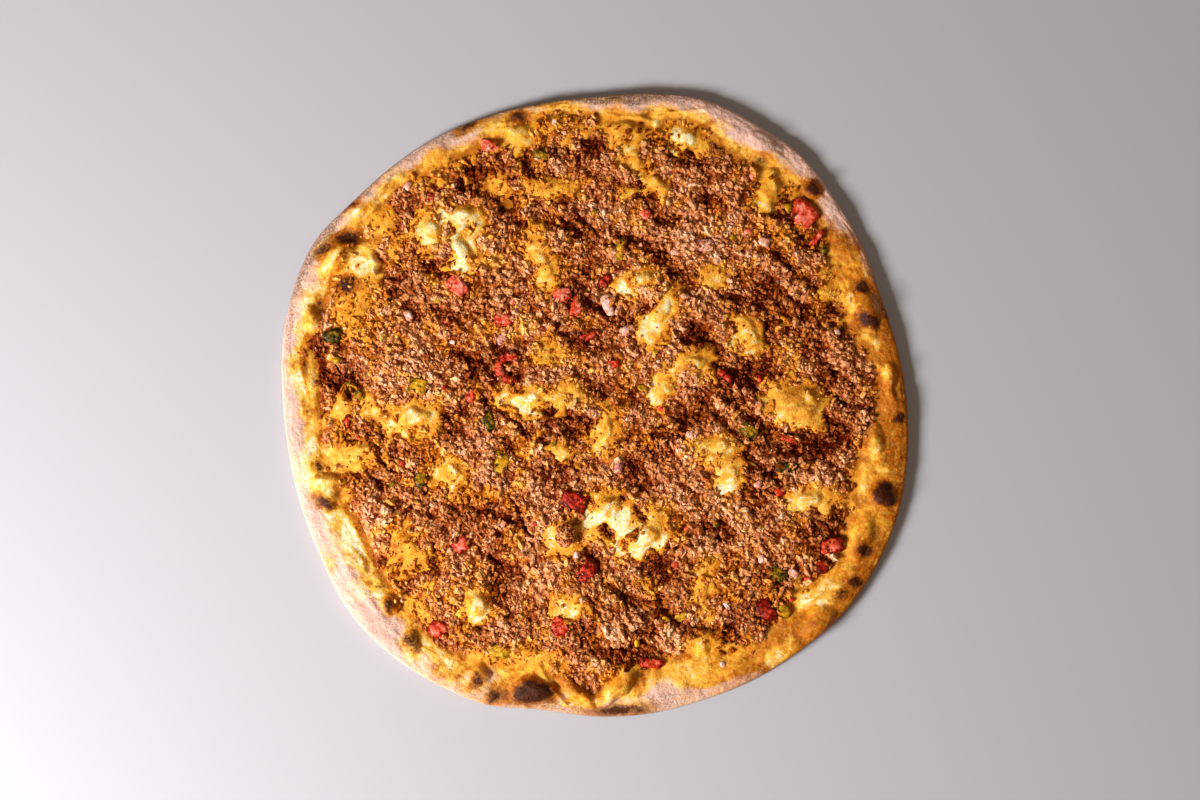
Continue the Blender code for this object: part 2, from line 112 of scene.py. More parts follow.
# %% Places of bare dough
BUBBLES = (  # and how far the top stands above the meat, and how pale it is
    (-66, 74, 12, 8, -35, 0.9, 1.5), (-67, 92, 11, 6, 0, 0.7, 0.95), (-81, 84, 5, 9, 15, 0.7, 0.8),
    (-38, 133.5, 8.5, 6, 35, 0.8, 0.35), (12, 136, 11, 6, 0, 0.8, 0.2), (20, 122, 5, 9, 12, 0.8, 0.7),
    (31, 109, 12, 5, -38, 0.8, 0.45), (45, 131, 7, 7, 0, 0.7, 0.9), (-20, 107, 12, 5, 10, 0.6, 0.15),
    (-26, 69, 6, 13, 12, 0.7, 0.5), (22, 60, 12, 5.5, 22, 1.0, 0.75), (34, 46, 7, 12, -20, 0.9, 0.7),
    (-89, -8, 15, 7.5, 8, 0.9, 0.65), (-116, -26, 13, 5.5, 2, 0.7, 0.3), (-70, -36, 8, 9, 30, 0.7, 0.5),
    (-32, 2, 14, 5.5, -3, 0.9, 0.85), (35, 8, 6, 9, -30, 0.8, 0.65), (50, 17, 11, 8, 20, 0.8, 0.55),
    (5, -13, 7, 10, 0, 0.7, 0.55), (75, 34, 8, 11, 20, 0.8, 0.6), (100, 0, 16, 11, -20, 0.65, 0.45),
    (67, -37, 6.5, 10, -10, 0.9, 1.0), (62, -22, 8, 5, -10, 0.7, 0.6), (8, -52, 12, 9.5, 0, 1.0, 1.5),
    (24, -65, 15, 8, 5, 0.9, 1.2), (-15, -66, 9, 10, 0, 0.7, 0.5), (105, -48, 10, 7, 10, 0.8, 0.6),
    (-92, -70, 12, 8, -35, 0.7, 0.2), (-59, -99, 10, 8, 0, 0.9, 0.9), (54, -90, 6, 11, 5, 0.7, 0.6),
    (53, -120, 6.5, 6.5, 0, 0.6, 0.4), (87, 108, 7.5, 12, -15, 0.9, 0.35),
    (111, -94, 12, 5, 22, 0.7, 0.75),
)  # fmt: skip
THIN_PLACES = (  # and how pale the dough is
    (-67, 83, 13, 11, -30, 0.85), (-57, 87, 5, 8, 0, 0.6), (-115, 70, 5, 10, 35, 0.7),
    (-118, 48, 6, 14, 5, 0.15), (-48, 108, 6, 4, -10, 0.05), (52, 127, 4, 3, 0, 0.8),
    (31, -59, 7, 8, 0, 0.6), (-12, 3, 8, 7, 0, 0.45), (-22, 25, 5, 4, 0, 0.3), (-16, -25, 6, 4, 0, 0.6),
    (-12, -101, 7, 4.5, 0, 0.5), (15, 105, 4, 3, 0, 0.6), (56, -128, 13, 5, 12, 0.25),
    (27, 35, 4, 6, 0, 0.8), (-28, -128, 10, 5, 10, 0.3), (60, 62, 5, 4, 0, 0.4),
    (-104, 88, 5, 4, 30, 0.3), (-125, -5, 5, 8, 0, 0.3), (118, 60, 6, 9, 20, 0.15),
    (-112, -2, 7, 5, 0, 0.3), (110, -50, 10, 5, 0, 0.4), (0, -60, 6, 7, 0, 0.3),
)  # fmt: skip
ISLANDS = (
    (25, 50, 7, 6.5, 0), (23, -54, 4.5, 5, 0), (-14, -64.5, 5, 4.5, 0), (-74, 86, 2.5, 3.5, 0),
    (-68, 84.5, 2, 2.5, 0), (-76, 75, 5, 4.5, 0), (-59, 84, 1.5, 2, 0), (8, -48, 3, 2, 0),
    (48, 12, 5, 3, 30), (96, -4, 3, 2, 0), (104, 5, 2.5, 2, 0), (-91, -13, 4, 2, 0), (-84, 0, 3, 2, 0),
    (24, 139, 5, 4, 0), (20, -64, 2, 2, 0), (17, -45, 3, 2, 0),
)  # fmt: skip
print(len(BUBBLES), "bubbles,", len(THIN_PLACES), "thin places and", len(ISLANDS), "islands")

# %% [markdown]
# The rim was stretched and folded by hand. Lumps are where it rose most, and ridges are folds and seams
# of the dough, so each ridge is a line with a width.

# %% Lumps and ridges of the rim
RIM_LUMPS = (  # and the height of the top
    (-128, 72, 13, 8, 40, 9.5), (-142, 43, 6, 8, -10, 9.5), (-133, -43, 9, 12, -5, 9.5),
    (-101, -99, 5, 7, -15, 8.5), (-119, -79, 8, 15, 35, 8.5), (-90, -118, 6, 9, 45, 8.5),
    (-57, -134, 9, 7, -10, 9.0), (-31, -142, 12, 7, -5, 10.0), (-11, -141, 13, 4, -42, 9.5),
    (11, -141, 13, 4, 36, 9.5), (109, -107, 13, 9, 48, 10.5), (132, -66, 6, 16, -18, 9.5),
    (143, -46, 7.5, 7.5, 0, 11.0), (138, -19, 7, 9, -20, 9.5), (146, 9, 5, 14, 10, 9.0),
    (136, 44, 7, 14, 12, 10.0), (108, 107, 6, 6, 0, 9.0), (84, 127, 15, 7, -40, 8.5),
)  # fmt: skip
RIDGES = (  # x and y of both ends, half width, height
    (-97, 113, -104, 109, 3.0, 1.0), (-104, 109, -115, 97, 3.2, 1.1), (-115, 97, -119, 86, 3.5, 1.1),
    (-115, 79, -108, 68, 2.6, 0.8), (-108, 68, -107, 62, 2.2, 0.7), (-143, 46, -141, 38, 3.6, 0.7),
    (-141, 22, -138, -14, 2.2, 0.5), (-137, -26, -127, -26, 3.0, 0.7), (-136, -38, -130, -38, 3.8, 0.7),
    (-131, -60, -122, -84, 4.5, 0.5), (-122, -84, -108, -102, 3.5, 0.5),
    (-43, -133, -27, -131, 2.4, 1.0), (-27, -131, -22, -140, 2.4, 1.1),
    (-22, -140, -15, -147, 2.2, 1.0), (-15, -147, -3, -149.5, 1.8, 0.9), (1, -147, 9, -138.5, 2.0, 1.0),
    (9, -138.5, 21, -132.5, 2.5, 1.0), (22, -138, 31, -141, 3.0, 0.5), (115, -88, 102, -98.5, 3.0, 0.9),
    (127, -64, 124, -82, 3.2, 0.7), (98, -119, 88, -126, 3.0, 0.6), (135, -33, 133, -43, 3.2, 0.7),
    (142, -32, 138, -19, 3.2, 0.7), (139, 19, 143.5, 11, 1.7, 0.7), (139, 29, 133, 32, 2.8, 0.8),
    (129, 46, 127, 53, 2.4, 0.7), (86.5, 104, 86.5, 98, 3.6, 0.6), (10, 142, 23, 143, 2.0, 0.9),
    (23, 143, 30, 138.5, 2.0, 0.9), (30, 138.5, 37, 145.5, 2.2, 1.0), (37, 145.5, 54, 147, 2.4, 0.9),
    (-44, 136, -35, 130, 2.4, 0.8),
)  # fmt: skip
print(len(RIM_LUMPS), "lumps and", len(RIDGES), "ridges on the rim")

# %% [markdown]
# Nothing on the bread repeats, so every field starts from noise. Value noise joins random heights at
# the corners of squares by a smooth step. Cell noise gives each square one point and measures how far
# the nearest is, which makes grains. Both run over whole arrays, and a seed turns them so that their
# squares never line up.

# %% Noise for whole arrays
def smooth(t):
    """0 below 0, 1 above 1, and between them 3 t squared minus 2 t cubed."""
    t = np.clip(t, 0.0, 1.0)
    return t * t * (3.0 - 2.0 * t)


def draw(i, j, seed):
    """A number from 0 to 1 for each pair of whole numbers, which looks random: products and shifts."""
    h = (i * 374761393 + j * 668265263 + seed * 974634777) & 0xFFFFFFFF
    h = ((h ^ (h >> 13)) * 1274126177) & 0xFFFFFFFF
    return ((h ^ (h >> 16)) & 0xFFFFFF) / 0xFFFFFF


def squares(x, y, size, seed):
    """Places in squares of this size, turned by the seed: their whole and their broken parts."""
    c, s = math.cos(seed * 1.3), math.sin(seed * 1.3)
    u, v = (c * x - s * y) / size + 40.5, (s * x + c * y) / size + 71.3
    i, j = np.floor(u), np.floor(v)
    return i.astype(np.int64), j.astype(np.int64), u - i, v - j


def ripple(x, y, size, seed, layers=1):
    """Value noise from -1 to 1, with waves of this size and, for each further layer, half as large."""
    i, j, u, v = squares(x, y, size, seed)
    u, v = smooth(u), smooth(v)
    low = draw(i, j, seed) * (1 - u) + draw(i + 1, j, seed) * u
    high = draw(i, j + 1, seed) * (1 - u) + draw(i + 1, j + 1, seed) * u
    value = 2.0 * (low * (1 - v) + high * v) - 1.0
    if layers > 1:
        value = (value + 0.5 * ripple(x, y, size / 2, seed + 7, layers - 1)) / 1.3
    return value


def grains(x, y, size, seed):
    """How far the nearest grain's middle is, in grain sizes, and that grain's own random number."""
    i, j, u, v = squares(x, y, size, seed)
    nearest, own = np.full(x.shape, 9.0), np.zeros(x.shape)
    for di in (-1, 0, 1):
        for dj in (-1, 0, 1):
            a, b = draw(i + di, j + dj, seed), draw(i + di, j + dj, seed + 1)
            away = np.hypot(di + 0.15 + 0.7 * a - u, dj + 0.15 + 0.7 * b - v)
            own = np.where(away < nearest, draw(i + di, j + dj, seed + 2), own)
            nearest = np.minimum(nearest, away)
    return nearest, own


print("ripple at the middle:", round(float(ripple(np.zeros(1), np.zeros(1), 9.0, 3)[0]), 3))

# %% [markdown]
# Three measures place everything: a smooth closed curve through the radii, how deep a place lies in an
# elliptic spot, and how deep it lies in a strand, which is a short line with a width. Both depths are
# in millimetres, so that borders are equally soft round large and small spots.

# %% Radii, spots and strands
def radius_at(radii, angle):
    """A smooth closed curve through evenly spaced radii (Catmull-Rom), at angles in radians."""
    place = angle / math.tau % 1.0 * len(radii)
    first = np.floor(place).astype(int)
    t = place - first
    a, b, c, d = (radii[(first + k) % len(radii)] for k in (-1, 0, 1, 2))
    return b + 0.5 * t * (c - a + t * (2 * a - 5 * b + 4 * c - d + t * (3 * (b - c) + d - a)))


def over(x, y, spot):
    """1 in the middle of a spot, 0 on its edge and less outside: one minus the elliptic radius."""
    a = math.radians(spot[4])
    u, v = x - spot[0], y - spot[1]
    u, v = u * math.cos(a) + v * math.sin(a), v * math.cos(a) - u * math.sin(a)
    return 1.0 - np.hypot(u / spot[2], v / spot[3])


def depth_in(x, y, spot):
    """Millimetres inside the edge of a spot, about: its elliptic measure times its smaller half size."""
    return over(x, y, spot) * min(spot[2], spot[3])


def depth_along(x, y, strand):
    """Millimetres inside a strand: its half width minus the distance to the line between its ends."""
    x0, y0, x1, y1, width = strand[:5]
    dx, dy = x1 - x0, y1 - y0
    t = np.clip(((x - x0) * dx + (y - y0) * dy) / (dx * dx + dy * dy), 0.0, 1.0)
    return width - np.hypot(x - x0 - t * dx, y - y0 - t * dy)


def inside_topping(x, y):
    """Millimetres from the edge of the topping, inwards."""
    return radius_at(TOPPING_RADII, np.arctan2(y, x)) - np.hypot(x, y)


def rim_share(x, y):
    """1 at the edge of the topping and 0 at the edge of the bread, and more than 1 inside."""
    angle = np.arctan2(y, x)
    topping, edge = radius_at(TOPPING_RADII, angle), radius_at(EDGE_RADII, angle)
    return 1.0 + (topping - np.hypot(x, y)) / (edge - topping)


print("topping from", TOPPING_RADII.min(), "to", TOPPING_RADII.max(), "mm out")

# %% [markdown]
# Where dough shows decides most of the look. The meat thins out over each bubble and each thin place.
# Its border is ragged, because the places are warped by noise before they are measured, and because a
# net of strands, grains of 4 mm and noise of 5 mm and finer are added to the depth. The same noise
# opens small gaps all over the meat.

# %% Where the dough is bare
def warped(x, y):
    """The same places, moved by up to 3 mm by noise, so that what is drawn there gets ragged."""
    return x + 2.6 * ripple(x, y, 10.0, 5, 2), y + 2.6 * ripple(x, y, 10.0, 6, 2)


def net(x, y):
    """1 along strands of dough 2 to 3 mm wide, round loops of 8 mm: one minus the noise's size / 0.35."""
    wx, wy = warped(x, y)
    return 1.0 - np.abs(ripple(wx, wy, 8.0, 33, 2)) / 0.35


def bare_depth(x, y):
    """Millimetres into bare dough where it is over 0, and into the meat where it is less. It starts
    about 5 mm inside the meat, follows the depth in each place up to 3 mm, falls under the islands,
    and gets the net, the grains and the noise. Near its edge the topping is thinner."""
    wx, wy = warped(x, y)
    depth = -5.0 + 4.0 * ripple(x, y, 17.0, 34, 2)
    for spot in BUBBLES + THIN_PLACES:
        depth = np.maximum(depth, 0.8 * np.minimum(depth_in(wx, wy, spot), 3.2) + 0.3)
    for spot in ISLANDS:
        depth = np.minimum(depth, -1.6 * depth_in(wx, wy, spot) + 0.5)
    grain, _ = grains(x, y, 4.2, 31)
    ragged = 1.5 * ripple(x, y, 5.0, 36, 3) + 2.2 * (grain - 0.45)
    ragged = ragged + 2.4 * smooth(1.0 - inside_topping(x, y) / 16.0)
    return depth + 2.3 * np.maximum(net(x, y), -1.5) + ragged


def within(x, y):
    """Millimetres from the ragged edge of the meat, inwards. The ridges of the rim are outside it."""
    inside = inside_topping(x, y) + 3.0 * ripple(x, y, 9.0, 35, 3)
    for ridge in RIDGES:
        inside = np.minimum(inside, -depth_along(x, y, ridge))
    return inside


def meat_cover(x, y):
    """From 1 where the meat lies thick to 0 on bare dough and on the rim."""
    return (1.0 - smooth((bare_depth(x, y) + 1.5) / 3.5)) * smooth((within(x, y) + 0.5) / 4.0)


probe = np.array([100.0, 0.0, 8.0, 60.0]), np.array([0.0, 60.0, -52.0, 100.0])
print("cover at four places:", np.round(meat_cover(*probe), 2))

# %% [markdown]
# The dough rises to a rim round its topping and swells at each bubble. The rim's section runs through a
# few points between the topping and the floor, each at a share of the rim's width, and the height of
# the rim follows its width. Lumps stand on it, and creases run along it.

# %% Heights of the dough
RIM_SECTION = np.array((  # rings so far, inset as a share and in mm, shares of the dough and of the rise
    (0, 1.00, 0.0, 1.00, 0.50),
    (6, 0.74, 0.0, 1.00, 0.84),
    (12, 0.48, 0.0, 1.00, 1.00),
    (18, 0.22, 0.0, 1.00, 0.86),
    (23, 0.00, 0.9, 0.75, 0.45),
    (26, 0.00, 0.0, 0.45, 0.12),
    (28, 0.00, 0.8, 0.15, 0.00),
    (30, 0.00, 3.4, 0.00, 0.00),
    (31, 0.00, 14.0, 0.00, 0.00),
))  # fmt: skip


def rim_height(angle):
    """The dough and its rise, more where the rim is wide, with swells of 60 and 17 mm along it."""
    x, y = RIM_RADIUS * np.cos(angle), RIM_RADIUS * np.sin(angle)
    width = radius_at(EDGE_RADII, angle) - radius_at(TOPPING_RADII, angle)
    share = np.minimum(width / WIDEST_RIM, 1.0)
    swell = 0.5 * ripple(x, y, 60.0, 8) + 0.5 * ripple(x, y, 17.0, 9)
    return DOUGH_TOP + RIM_RISE * (0.45 + 0.55 * share) + swell


def bell(x, y, spot):
    """A bell curve over a spot: the exponential of minus the elliptic radius squared."""
    return np.exp(-((1.0 - over(x, y, spot)) ** 2))


def meat_height(x, y):
    """The level of the meat, with its mounds and hollows, and thinner towards the edge."""
    z = MEAT_TOP + 0.5 * ripple(x, y, 30.0, 10)
    for spot in MOUNDS:
        z = z + spot[5] * bell(x, y, spot)
    for spot in HOLLOWS:
        z = z - HOLLOW_MM * spot[5] * bell(x, y, spot)
    edge = DOUGH_TOP + MEAT_EDGE
    return edge + (z - edge) * smooth(inside_topping(x, y) / EDGE_SLOPE)


def meat_height_at(x, y):
    """The height of the meat at one place."""
    return meat_height(np.array([float(x)]), np.array([float(y)]))[0]


LUMP_FOOT = 1.0  # how deep in the dough lumps and bubbles begin


def raised(x, y, ground):
    """The ground raised to each lump and bubble, from a foot inside the dough. A lump is the upper part
    of an ellipsoid: its height times the square root of 1 minus the elliptic radius squared. A bubble
    swells by a smooth step, so that it has no edge."""
    wx, wy = warped(x, y)
    foot = DOUGH_TOP - LUMP_FOOT
    for spot in RIM_LUMPS:
        near = np.clip(over(wx, wy, spot), 0.0, 1.0)
        ground = np.maximum(ground, foot + (spot[5] - foot) * np.sqrt(1.0 - (1.0 - near) ** 2))
    for spot in BUBBLES:
        swell = smooth(1.3 * over(wx, wy, spot) + 0.2)
        top = meat_height_at(*spot[:2]) + spot[5]
        ground = np.maximum(ground, foot + (top - foot) * swell)
    return ground


def dough_relief(x, y):
    """Swells of 14, 6 and 3 mm, ridges with round backs, strands of the net inside the rim, and along
    the rim creases 2.5 mm apart and four times as long."""
    wx, wy = warped(x, y)
    relief = 0.5 * ripple(x, y, 14.0, 11) + 0.4 * ripple(x, y, 6.0, 12, 2) + 0.25 * ripple(x, y, 3.0, 13, 2)
    for ridge in RIDGES:
        relief = relief + ridge[5] * smooth(depth_along(wx, wy, ridge) / ridge[4])
    angle, radius = np.arctan2(y, x), np.hypot(x, y)
    creases = ripple(angle * CREASE_ARC, radius, 2.5, 14, 2)
    on_rim = smooth((1.0 - rim_share(x, y)) / 0.2)
    relief = relief + 0.35 * (1.0 - on_rim) * smooth(0.5 + 0.7 * net(x, y))
    return relief - 0.35 * on_rim * smooth(np.abs(creases) * -4.0 + 1.0)


def dough_height(x, y):
    """The top of the dough: flat inside and risen on the rim, and raised nearly to the meat where it is
    bare, with its lumps, bubbles and relief."""
    angle = np.arctan2(y, x)
    share = rim_share(x, y)
    rise = np.interp(share, RIM_SECTION[4::-1, 1], RIM_SECTION[4::-1, 4])
    rise = rise * smooth(1.0 - (share - 1.0) * 1.5)
    ground = DOUGH_TOP + rise * (rim_height(angle) - DOUGH_TOP)
    lift = smooth((bare_depth(x, y) + 2.5) / 2.5) * smooth(inside_topping(x, y) / 6.0)
    ground = ground + lift * np.maximum(meat_height(x, y) - 0.5 - ground, 0.0)
    return raised(x, y, ground) + dough_relief(x, y)


print("dough height at four places:", np.round(dough_height(*probe), 1))

# %% [markdown]
# A disc could be a fan of rings, but its middle would be crowded and its edge coarse. A square grid
# pressed into a disc keeps its squares nearly even: nested squares turn into nested rings. The last
# rings of the bread's grid run over the rim, round the edge and under it, and one flat face on the
# floor closes it.

# %% Grids and meshes
def disc_grid(rings):
    """Ring and angle of each point of a square grid of 2 x rings + 1 points a side, its squares, and
    its outer loop. The ring is the larger of |u| and |v|, and the angle is 45 degrees times v / u."""
    side = 2 * rings + 1
    u, v = np.meshgrid(np.arange(-rings, rings + 1.0), np.arange(-rings, rings + 1.0))
    u, v = u.ravel(), v.ravel()
    wide = np.abs(u) > np.abs(v)
    ring = np.where(wide, u, v)
    least = np.where(wide, v, u)
    lean = math.pi / 4 * least / np.where(ring == 0, 1.0, ring)
    angle = np.where(wide, lean, math.pi / 2 - lean) + math.pi * (ring < 0)
    index = np.arange(side * side).reshape(side, side)
    quads = np.stack([index[:-1, :-1], index[:-1, 1:], index[1:, 1:], index[1:, :-1]], axis=-1)
    loop = np.concatenate([index[0, :-1], index[:-1, -1], index[-1, :0:-1], index[:0:-1, 0]])
    return np.abs(ring), angle, quads.reshape(-1, 4), loop


def make_piece(name, points, faces, finish, slot, replaced=(), flat=False, **fields):
    """A piece from points in millimetres and arrays of faces, with a number at each point for every
    field. It rides on the bread and may stand for solids."""
    mesh = bpy.data.meshes.new(name)
    mesh.vertices.add(len(points))
    mesh.vertices.foreach_set("co", (points * MM).astype(np.float32).ravel())
    corners = np.concatenate([face.ravel() for face in faces]).astype(np.int32)
    counts = np.concatenate([np.full(len(face), face.shape[1]) for face in faces])
    mesh.loops.add(len(corners))
    mesh.loops.foreach_set("vertex_index", corners)
    mesh.polygons.add(len(counts))
    mesh.polygons.foreach_set("loop_start", (np.cumsum(counts) - counts).astype(np.int32))
    mesh.update(calc_edges=True)
    if flat:
        mesh.shade_flat()
    else:
        mesh.shade_smooth()
    for field, values in fields.items():
        mesh.attributes.new(field, "FLOAT", "POINT").data.foreach_set("value", values.astype(np.float32))
    mesh.materials.append(finish)
    piece = bpy.data.objects.new(name, mesh)
    bpy.context.scene.collection.objects.link(piece)
    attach(piece, "root")
    if replaced:
        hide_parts(*replaced)
    print(f"{name}: {len(points)} points, {int((counts - 2).sum())} triangles")


# %% [markdown]
# Every finish is built from sRGB colours, turned to the linear numbers that the shader works with.
# Patterns read Object coordinates, which are in metres here, so a pattern of so many millimetres has a
# scale of 1000 divided by them.

# %% Helpers for the finishes
def linear(code):
    """A colour such as e8b87a, from sRGB to linear: a power of 2.4 above a short straight part."""
    values = [int(code[k : k + 2], 16) / 255 for k in (0, 2, 4)]
    return (*[v / 12.92 if v <= 0.04045 else ((v + 0.055) / 1.055) ** 2.4 for v in values], 1.0)


def node(tree, kind, inputs, colours=(), **settings):
    """Adds a node with its settings. An input is a number, a colour or another node's output, and the
    colours of a ramp are spaced evenly."""
    made = tree.nodes.new("ShaderNode" + kind)
    for name, value in settings.items():
        setattr(made, name, value)
    for number in range(1, len(colours) - 1):
        made.color_ramp.elements.new(number / (len(colours) - 1))
    for number, code in enumerate(colours):
        made.color_ramp.elements[number].color = linear(code)
    for socket, value in inputs.items():
        if isinstance(value, bpy.types.NodeSocket):
            tree.links.new(value, made.inputs[socket])
        else:
            made.inputs[socket].default_value = value
    return made


def new_finish(name, **constants):
    """An empty material with its shader, the shader's fixed values, and Object coordinates."""
    material = bpy.data.materials.new(name)
    material.use_nodes = True
    tree = material.node_tree
    shader = tree.nodes["Principled BSDF"]
    for socket, value in constants.items():
        shader.inputs[socket.replace("_", " ")].default_value = value
    return material, tree, shader, node(tree, "TexCoord", {}).outputs["Object"]


def noise_of(place, size, detail=3.0, roughness=0.55):
    """The inputs of a noise whose waves are of a size in millimetres."""
    return {"Vector": place, "Scale": 1000 / size, "Detail": detail, "Roughness": roughness}


# %% [markdown]
# Baked wheat dough is matt and floury where it was dusted, golden and a little glossy where fat from the
# meat soaked it, pale where a bubble lifted it clear, and black where a blister touched the heat. The
# pale field also holds painted light: a bubble is palest on its side towards the lamp, a painted
# highlight, and less pale on steep flanks, a painted shade. Light enters the dough, most where it is
# pale and thin. Each of these is a field on the mesh, and the material lays one colour after another by
# its field. Noise is added to a field before it is cut off, so that its border breaks up into grains
# instead of fading evenly.

# %% Finish of the baked dough
PLAIN_TINTS = ("d08c3c", "ecbc6c")
DOUGH_LAYERS = (  # field, its two tints, grain in mm, raggedness, low, high
    ("gold", "d06a02", "f6b638", 2.4, 0.6, 0.05, 0.75),  # soaked with fat
    ("toast", "742804", "d07408", 1.3, 1.2, 0.15, 0.95),
    ("pale", "f0a826", "ffca58", 2.2, 0.6, 0.02, 0.36),  # the yellow skin of a bubble
    ("pale", "ffdc84", "fff6dc", 1.7, 1.1, 0.36, 0.90),  # and its cream top
    ("gold", "8c4006", "c47814", 0.9, 2.0, 1.20, 1.60),  # brown freckles in the gold
    ("flour", "d8a18c", "e6c6b6", 1.2, 0.6, 0.15, 0.75),
    ("soot", "4a3426", "8a6a50", 0.9, 1.5, 0.45, 0.95),
    ("char", "180702", "5a260c", 1.2, 1.7, 0.10, 0.80),
)


def baked_dough_finish():
    """Colour by colour: the field plus noise times raggedness, cut off between a low and a high."""
    material, tree, shader, place = new_finish(
        "baked_dough", Specular_IOR_Level=0.12, Subsurface_Scale=3.0 * MM
    )
    shader.inputs["Subsurface Radius"].default_value = (1.0, 0.65, 0.35)  # red light goes in furthest
    baked = node(tree, "TexNoise", noise_of(place, 9.0)).outputs["Fac"]
    tints = {0: baked, 6: linear(PLAIN_TINTS[0]), 7: linear(PLAIN_TINTS[1])}
    colour = node(tree, "Mix", tints, data_type="RGBA").outputs[2]
    for field, one, other, grain, ragged, low, high in DOUGH_LAYERS:
        noise = node(tree, "TexNoise", noise_of(place, grain, 3.0, 0.6)).outputs["Fac"]
        own = node(tree, "Attribute", {}, attribute_name=field).outputs["Fac"]
        amount = node(tree, "Math", {0: noise, 1: ragged, 2: own}, operation="MULTIPLY_ADD").outputs[0]
        half = 0.5 * ragged
        share = node(tree, "MapRange", {0: amount, 1: low + half, 2: high + half}).outputs[0]
        contrast = node(tree, "MapRange", {0: noise, 1: 0.3, 2: 0.7}).outputs[0]
        tints = {0: contrast, 6: linear(one), 7: linear(other)}
        tint = node(tree, "Mix", tints, data_type="RGBA").outputs[2]
        colour = node(tree, "Mix", {0: share, 6: colour, 7: tint}, data_type="RGBA").outputs[2]
    tree.links.new(colour, shader.inputs["Base Color"])
    oily = node(tree, "Attribute", {}, attribute_name="gold").outputs["Fac"]
    gloss = node(tree, "MapRange", {0: oily, 3: 0.85, 4: 0.42}).outputs[0]
    tree.links.new(gloss, shader.inputs["Roughness"])
    thin = node(tree, "Attribute", {}, attribute_name="pale").outputs["Fac"]
    glow = node(tree, "MapRange", {0: thin, 3: 0.4, 4: 0.7}).outputs[0]
    tree.links.new(glow, shader.inputs["Subsurface Weight"])
    pits = node(tree, "TexNoise", noise_of(place, 1.8, 4.0, 0.65)).outputs["Fac"]
    bump = node(tree, "Bump", {"Height": pits, "Strength": 0.9, "Distance": 0.9 * MM})
    tree.links.new(bump.outputs["Normal"], shader.inputs["Normal"])
    return material


BAKED_DOUGH = baked_dough_finish()
print("layers of the dough:", [layer[0] for layer in DOUGH_LAYERS])

# %% [markdown]
# The fields of the dough come from what happened to it. Flour lies on the outer part of the rim, more
# on the left, and inside it the rim is cream there. Soot from the oven dulls the edge. Both are given
# every 20 degrees round the bread. Then there are single marks: fat that pooled, crust that is toasted,
# and blisters that stood highest in the oven and scorched.

# %% Flour, soot and marks on the dough
RIM_FLOUR = np.array((
    0.0, 0.3, 0.85, 0.95, 0.7, 0.6, 0.8, 0.8, 0.95, 1.0, 1.1, 1.1, 0.75, 0.5, 0.8, 0.35, 0.0, 0.0,
))  # fmt: skip
RIM_SOOT = np.array((
    0.1, 0.2, 0.25, 0.3, 0.75, 0.75, 0.6, 0.7, 0.72, 0.15, 0.0, 0.1, 0.45, 0.6, 0.6, 0.1, 0.1, 0.1,
))  # fmt: skip
RIM_CREAM = np.array((
    0.0, 0.0, 0.1, 0.4, 0.35, 0.4, 0.25, 0.45, 0.7, 0.8, 1.0, 1.0, 0.5, 0.3, 0.55, 0.1, 0.0, 0.1,
))  # fmt: skip
GILDED = (  # and how golden
    (-118, 74, 9, 6, -20, 1.0), (-143, 32, 3, 8, 10, 1.0), (-137, 8, 5, 20, 5, 0.9),
    (-125, -28, 10, 3, 5, 0.8), (-126, -52, 6, 10, 0, 0.5), (-87, -112, 5, 4, 0, 0.8),
    (-8, -146, 8, 3, 0, 1.0), (20, -138, 6, 4, 0, 0.8), (58, -132, 18, 5, 14, 1.0),
    (77, -126, 10, 5, 25, 1.0), (106, -105, 12, 8, 45, 1.0), (95, -118, 9, 5, 35, 0.8),
    (134, -62, 6, 14, -18, 0.9), (140, -38, 6, 9, 0, 0.7), (147, -13, 4, 9, 0, 1.0),
    (143, 8, 5, 16, 10, 0.9), (132, 47, 5, 8, 0, 0.9), (127, 68, 5, 11, 20, 0.8),
    (118, 85, 4, 8, 30, 0.5), (86, 111, 6, 8, 0, 1.0), (8, 138, 6, 7, 0, 1.0),
    (-37, 133, 8, 5, 30, 1.0),
)  # fmt: skip
TOASTED = (  # and how brown
    (-129, 78, 12, 6.5, 18, 1.0), (-122, 59, 9, 6, 10, 0.9), (-148.6, 36.8, 2, 5, 10, 0.9),
    (-145, 21, 1.6, 8, 5, 0.9), (-142, -2, 1.8, 7, 20, 1.0), (-130, -82, 3, 6, 35, 0.6),
    (-118, -93.5, 6, 5, 0, 0.5), (-120, -77, 5, 6, 30, 0.35), (-90, -123, 10, 4, -35, 0.8),
    (-72, -132, 8, 5, -20, 0.75), (-60, -138, 7, 4, 0, 0.7), (-44, -142, 7, 5, 0, 0.7),
    (52, -136, 4, 3, 0, 0.7), (75, -127, 7, 4, 20, 0.65), (85, -131, 3, 3, 0, 0.9),
    (134, -79, 6, 8, -30, 0.8), (124, -92, 10, 6, 40, 1.0), (107, -109, 10, 6, 45, 0.6),
    (154, -29, 2.5, 10, 0, 0.8), (145, -48, 10, 10, 0, 0.6), (147, 18, 3, 9, 10, 0.8),
    (136, 40, 8, 7, 0, 0.9), (129, 53, 5, 5, 0, 0.8), (126, 80, 4, 8, 30, 0.8),
    (107, 107, 6, 5, 0, 0.7), (81, 120, 6, 4, 0, 0.8), (64, 138, 6, 3, -30, 0.5),
    (-37, 141, 8, 3.5, 5, 0.9), (-64, 138, 9, 5, 25, 0.9), (-52, 141, 7, 4, 15, 0.6),
    (-17, 149, 9, 3.5, 5, 0.9), (10, 151, 9, 2.5, 0, 0.6), (34, 112, 4, 10, -30, 0.5),
    (100, 2, 10, 6, -20, 0.5),
)  # fmt: skip
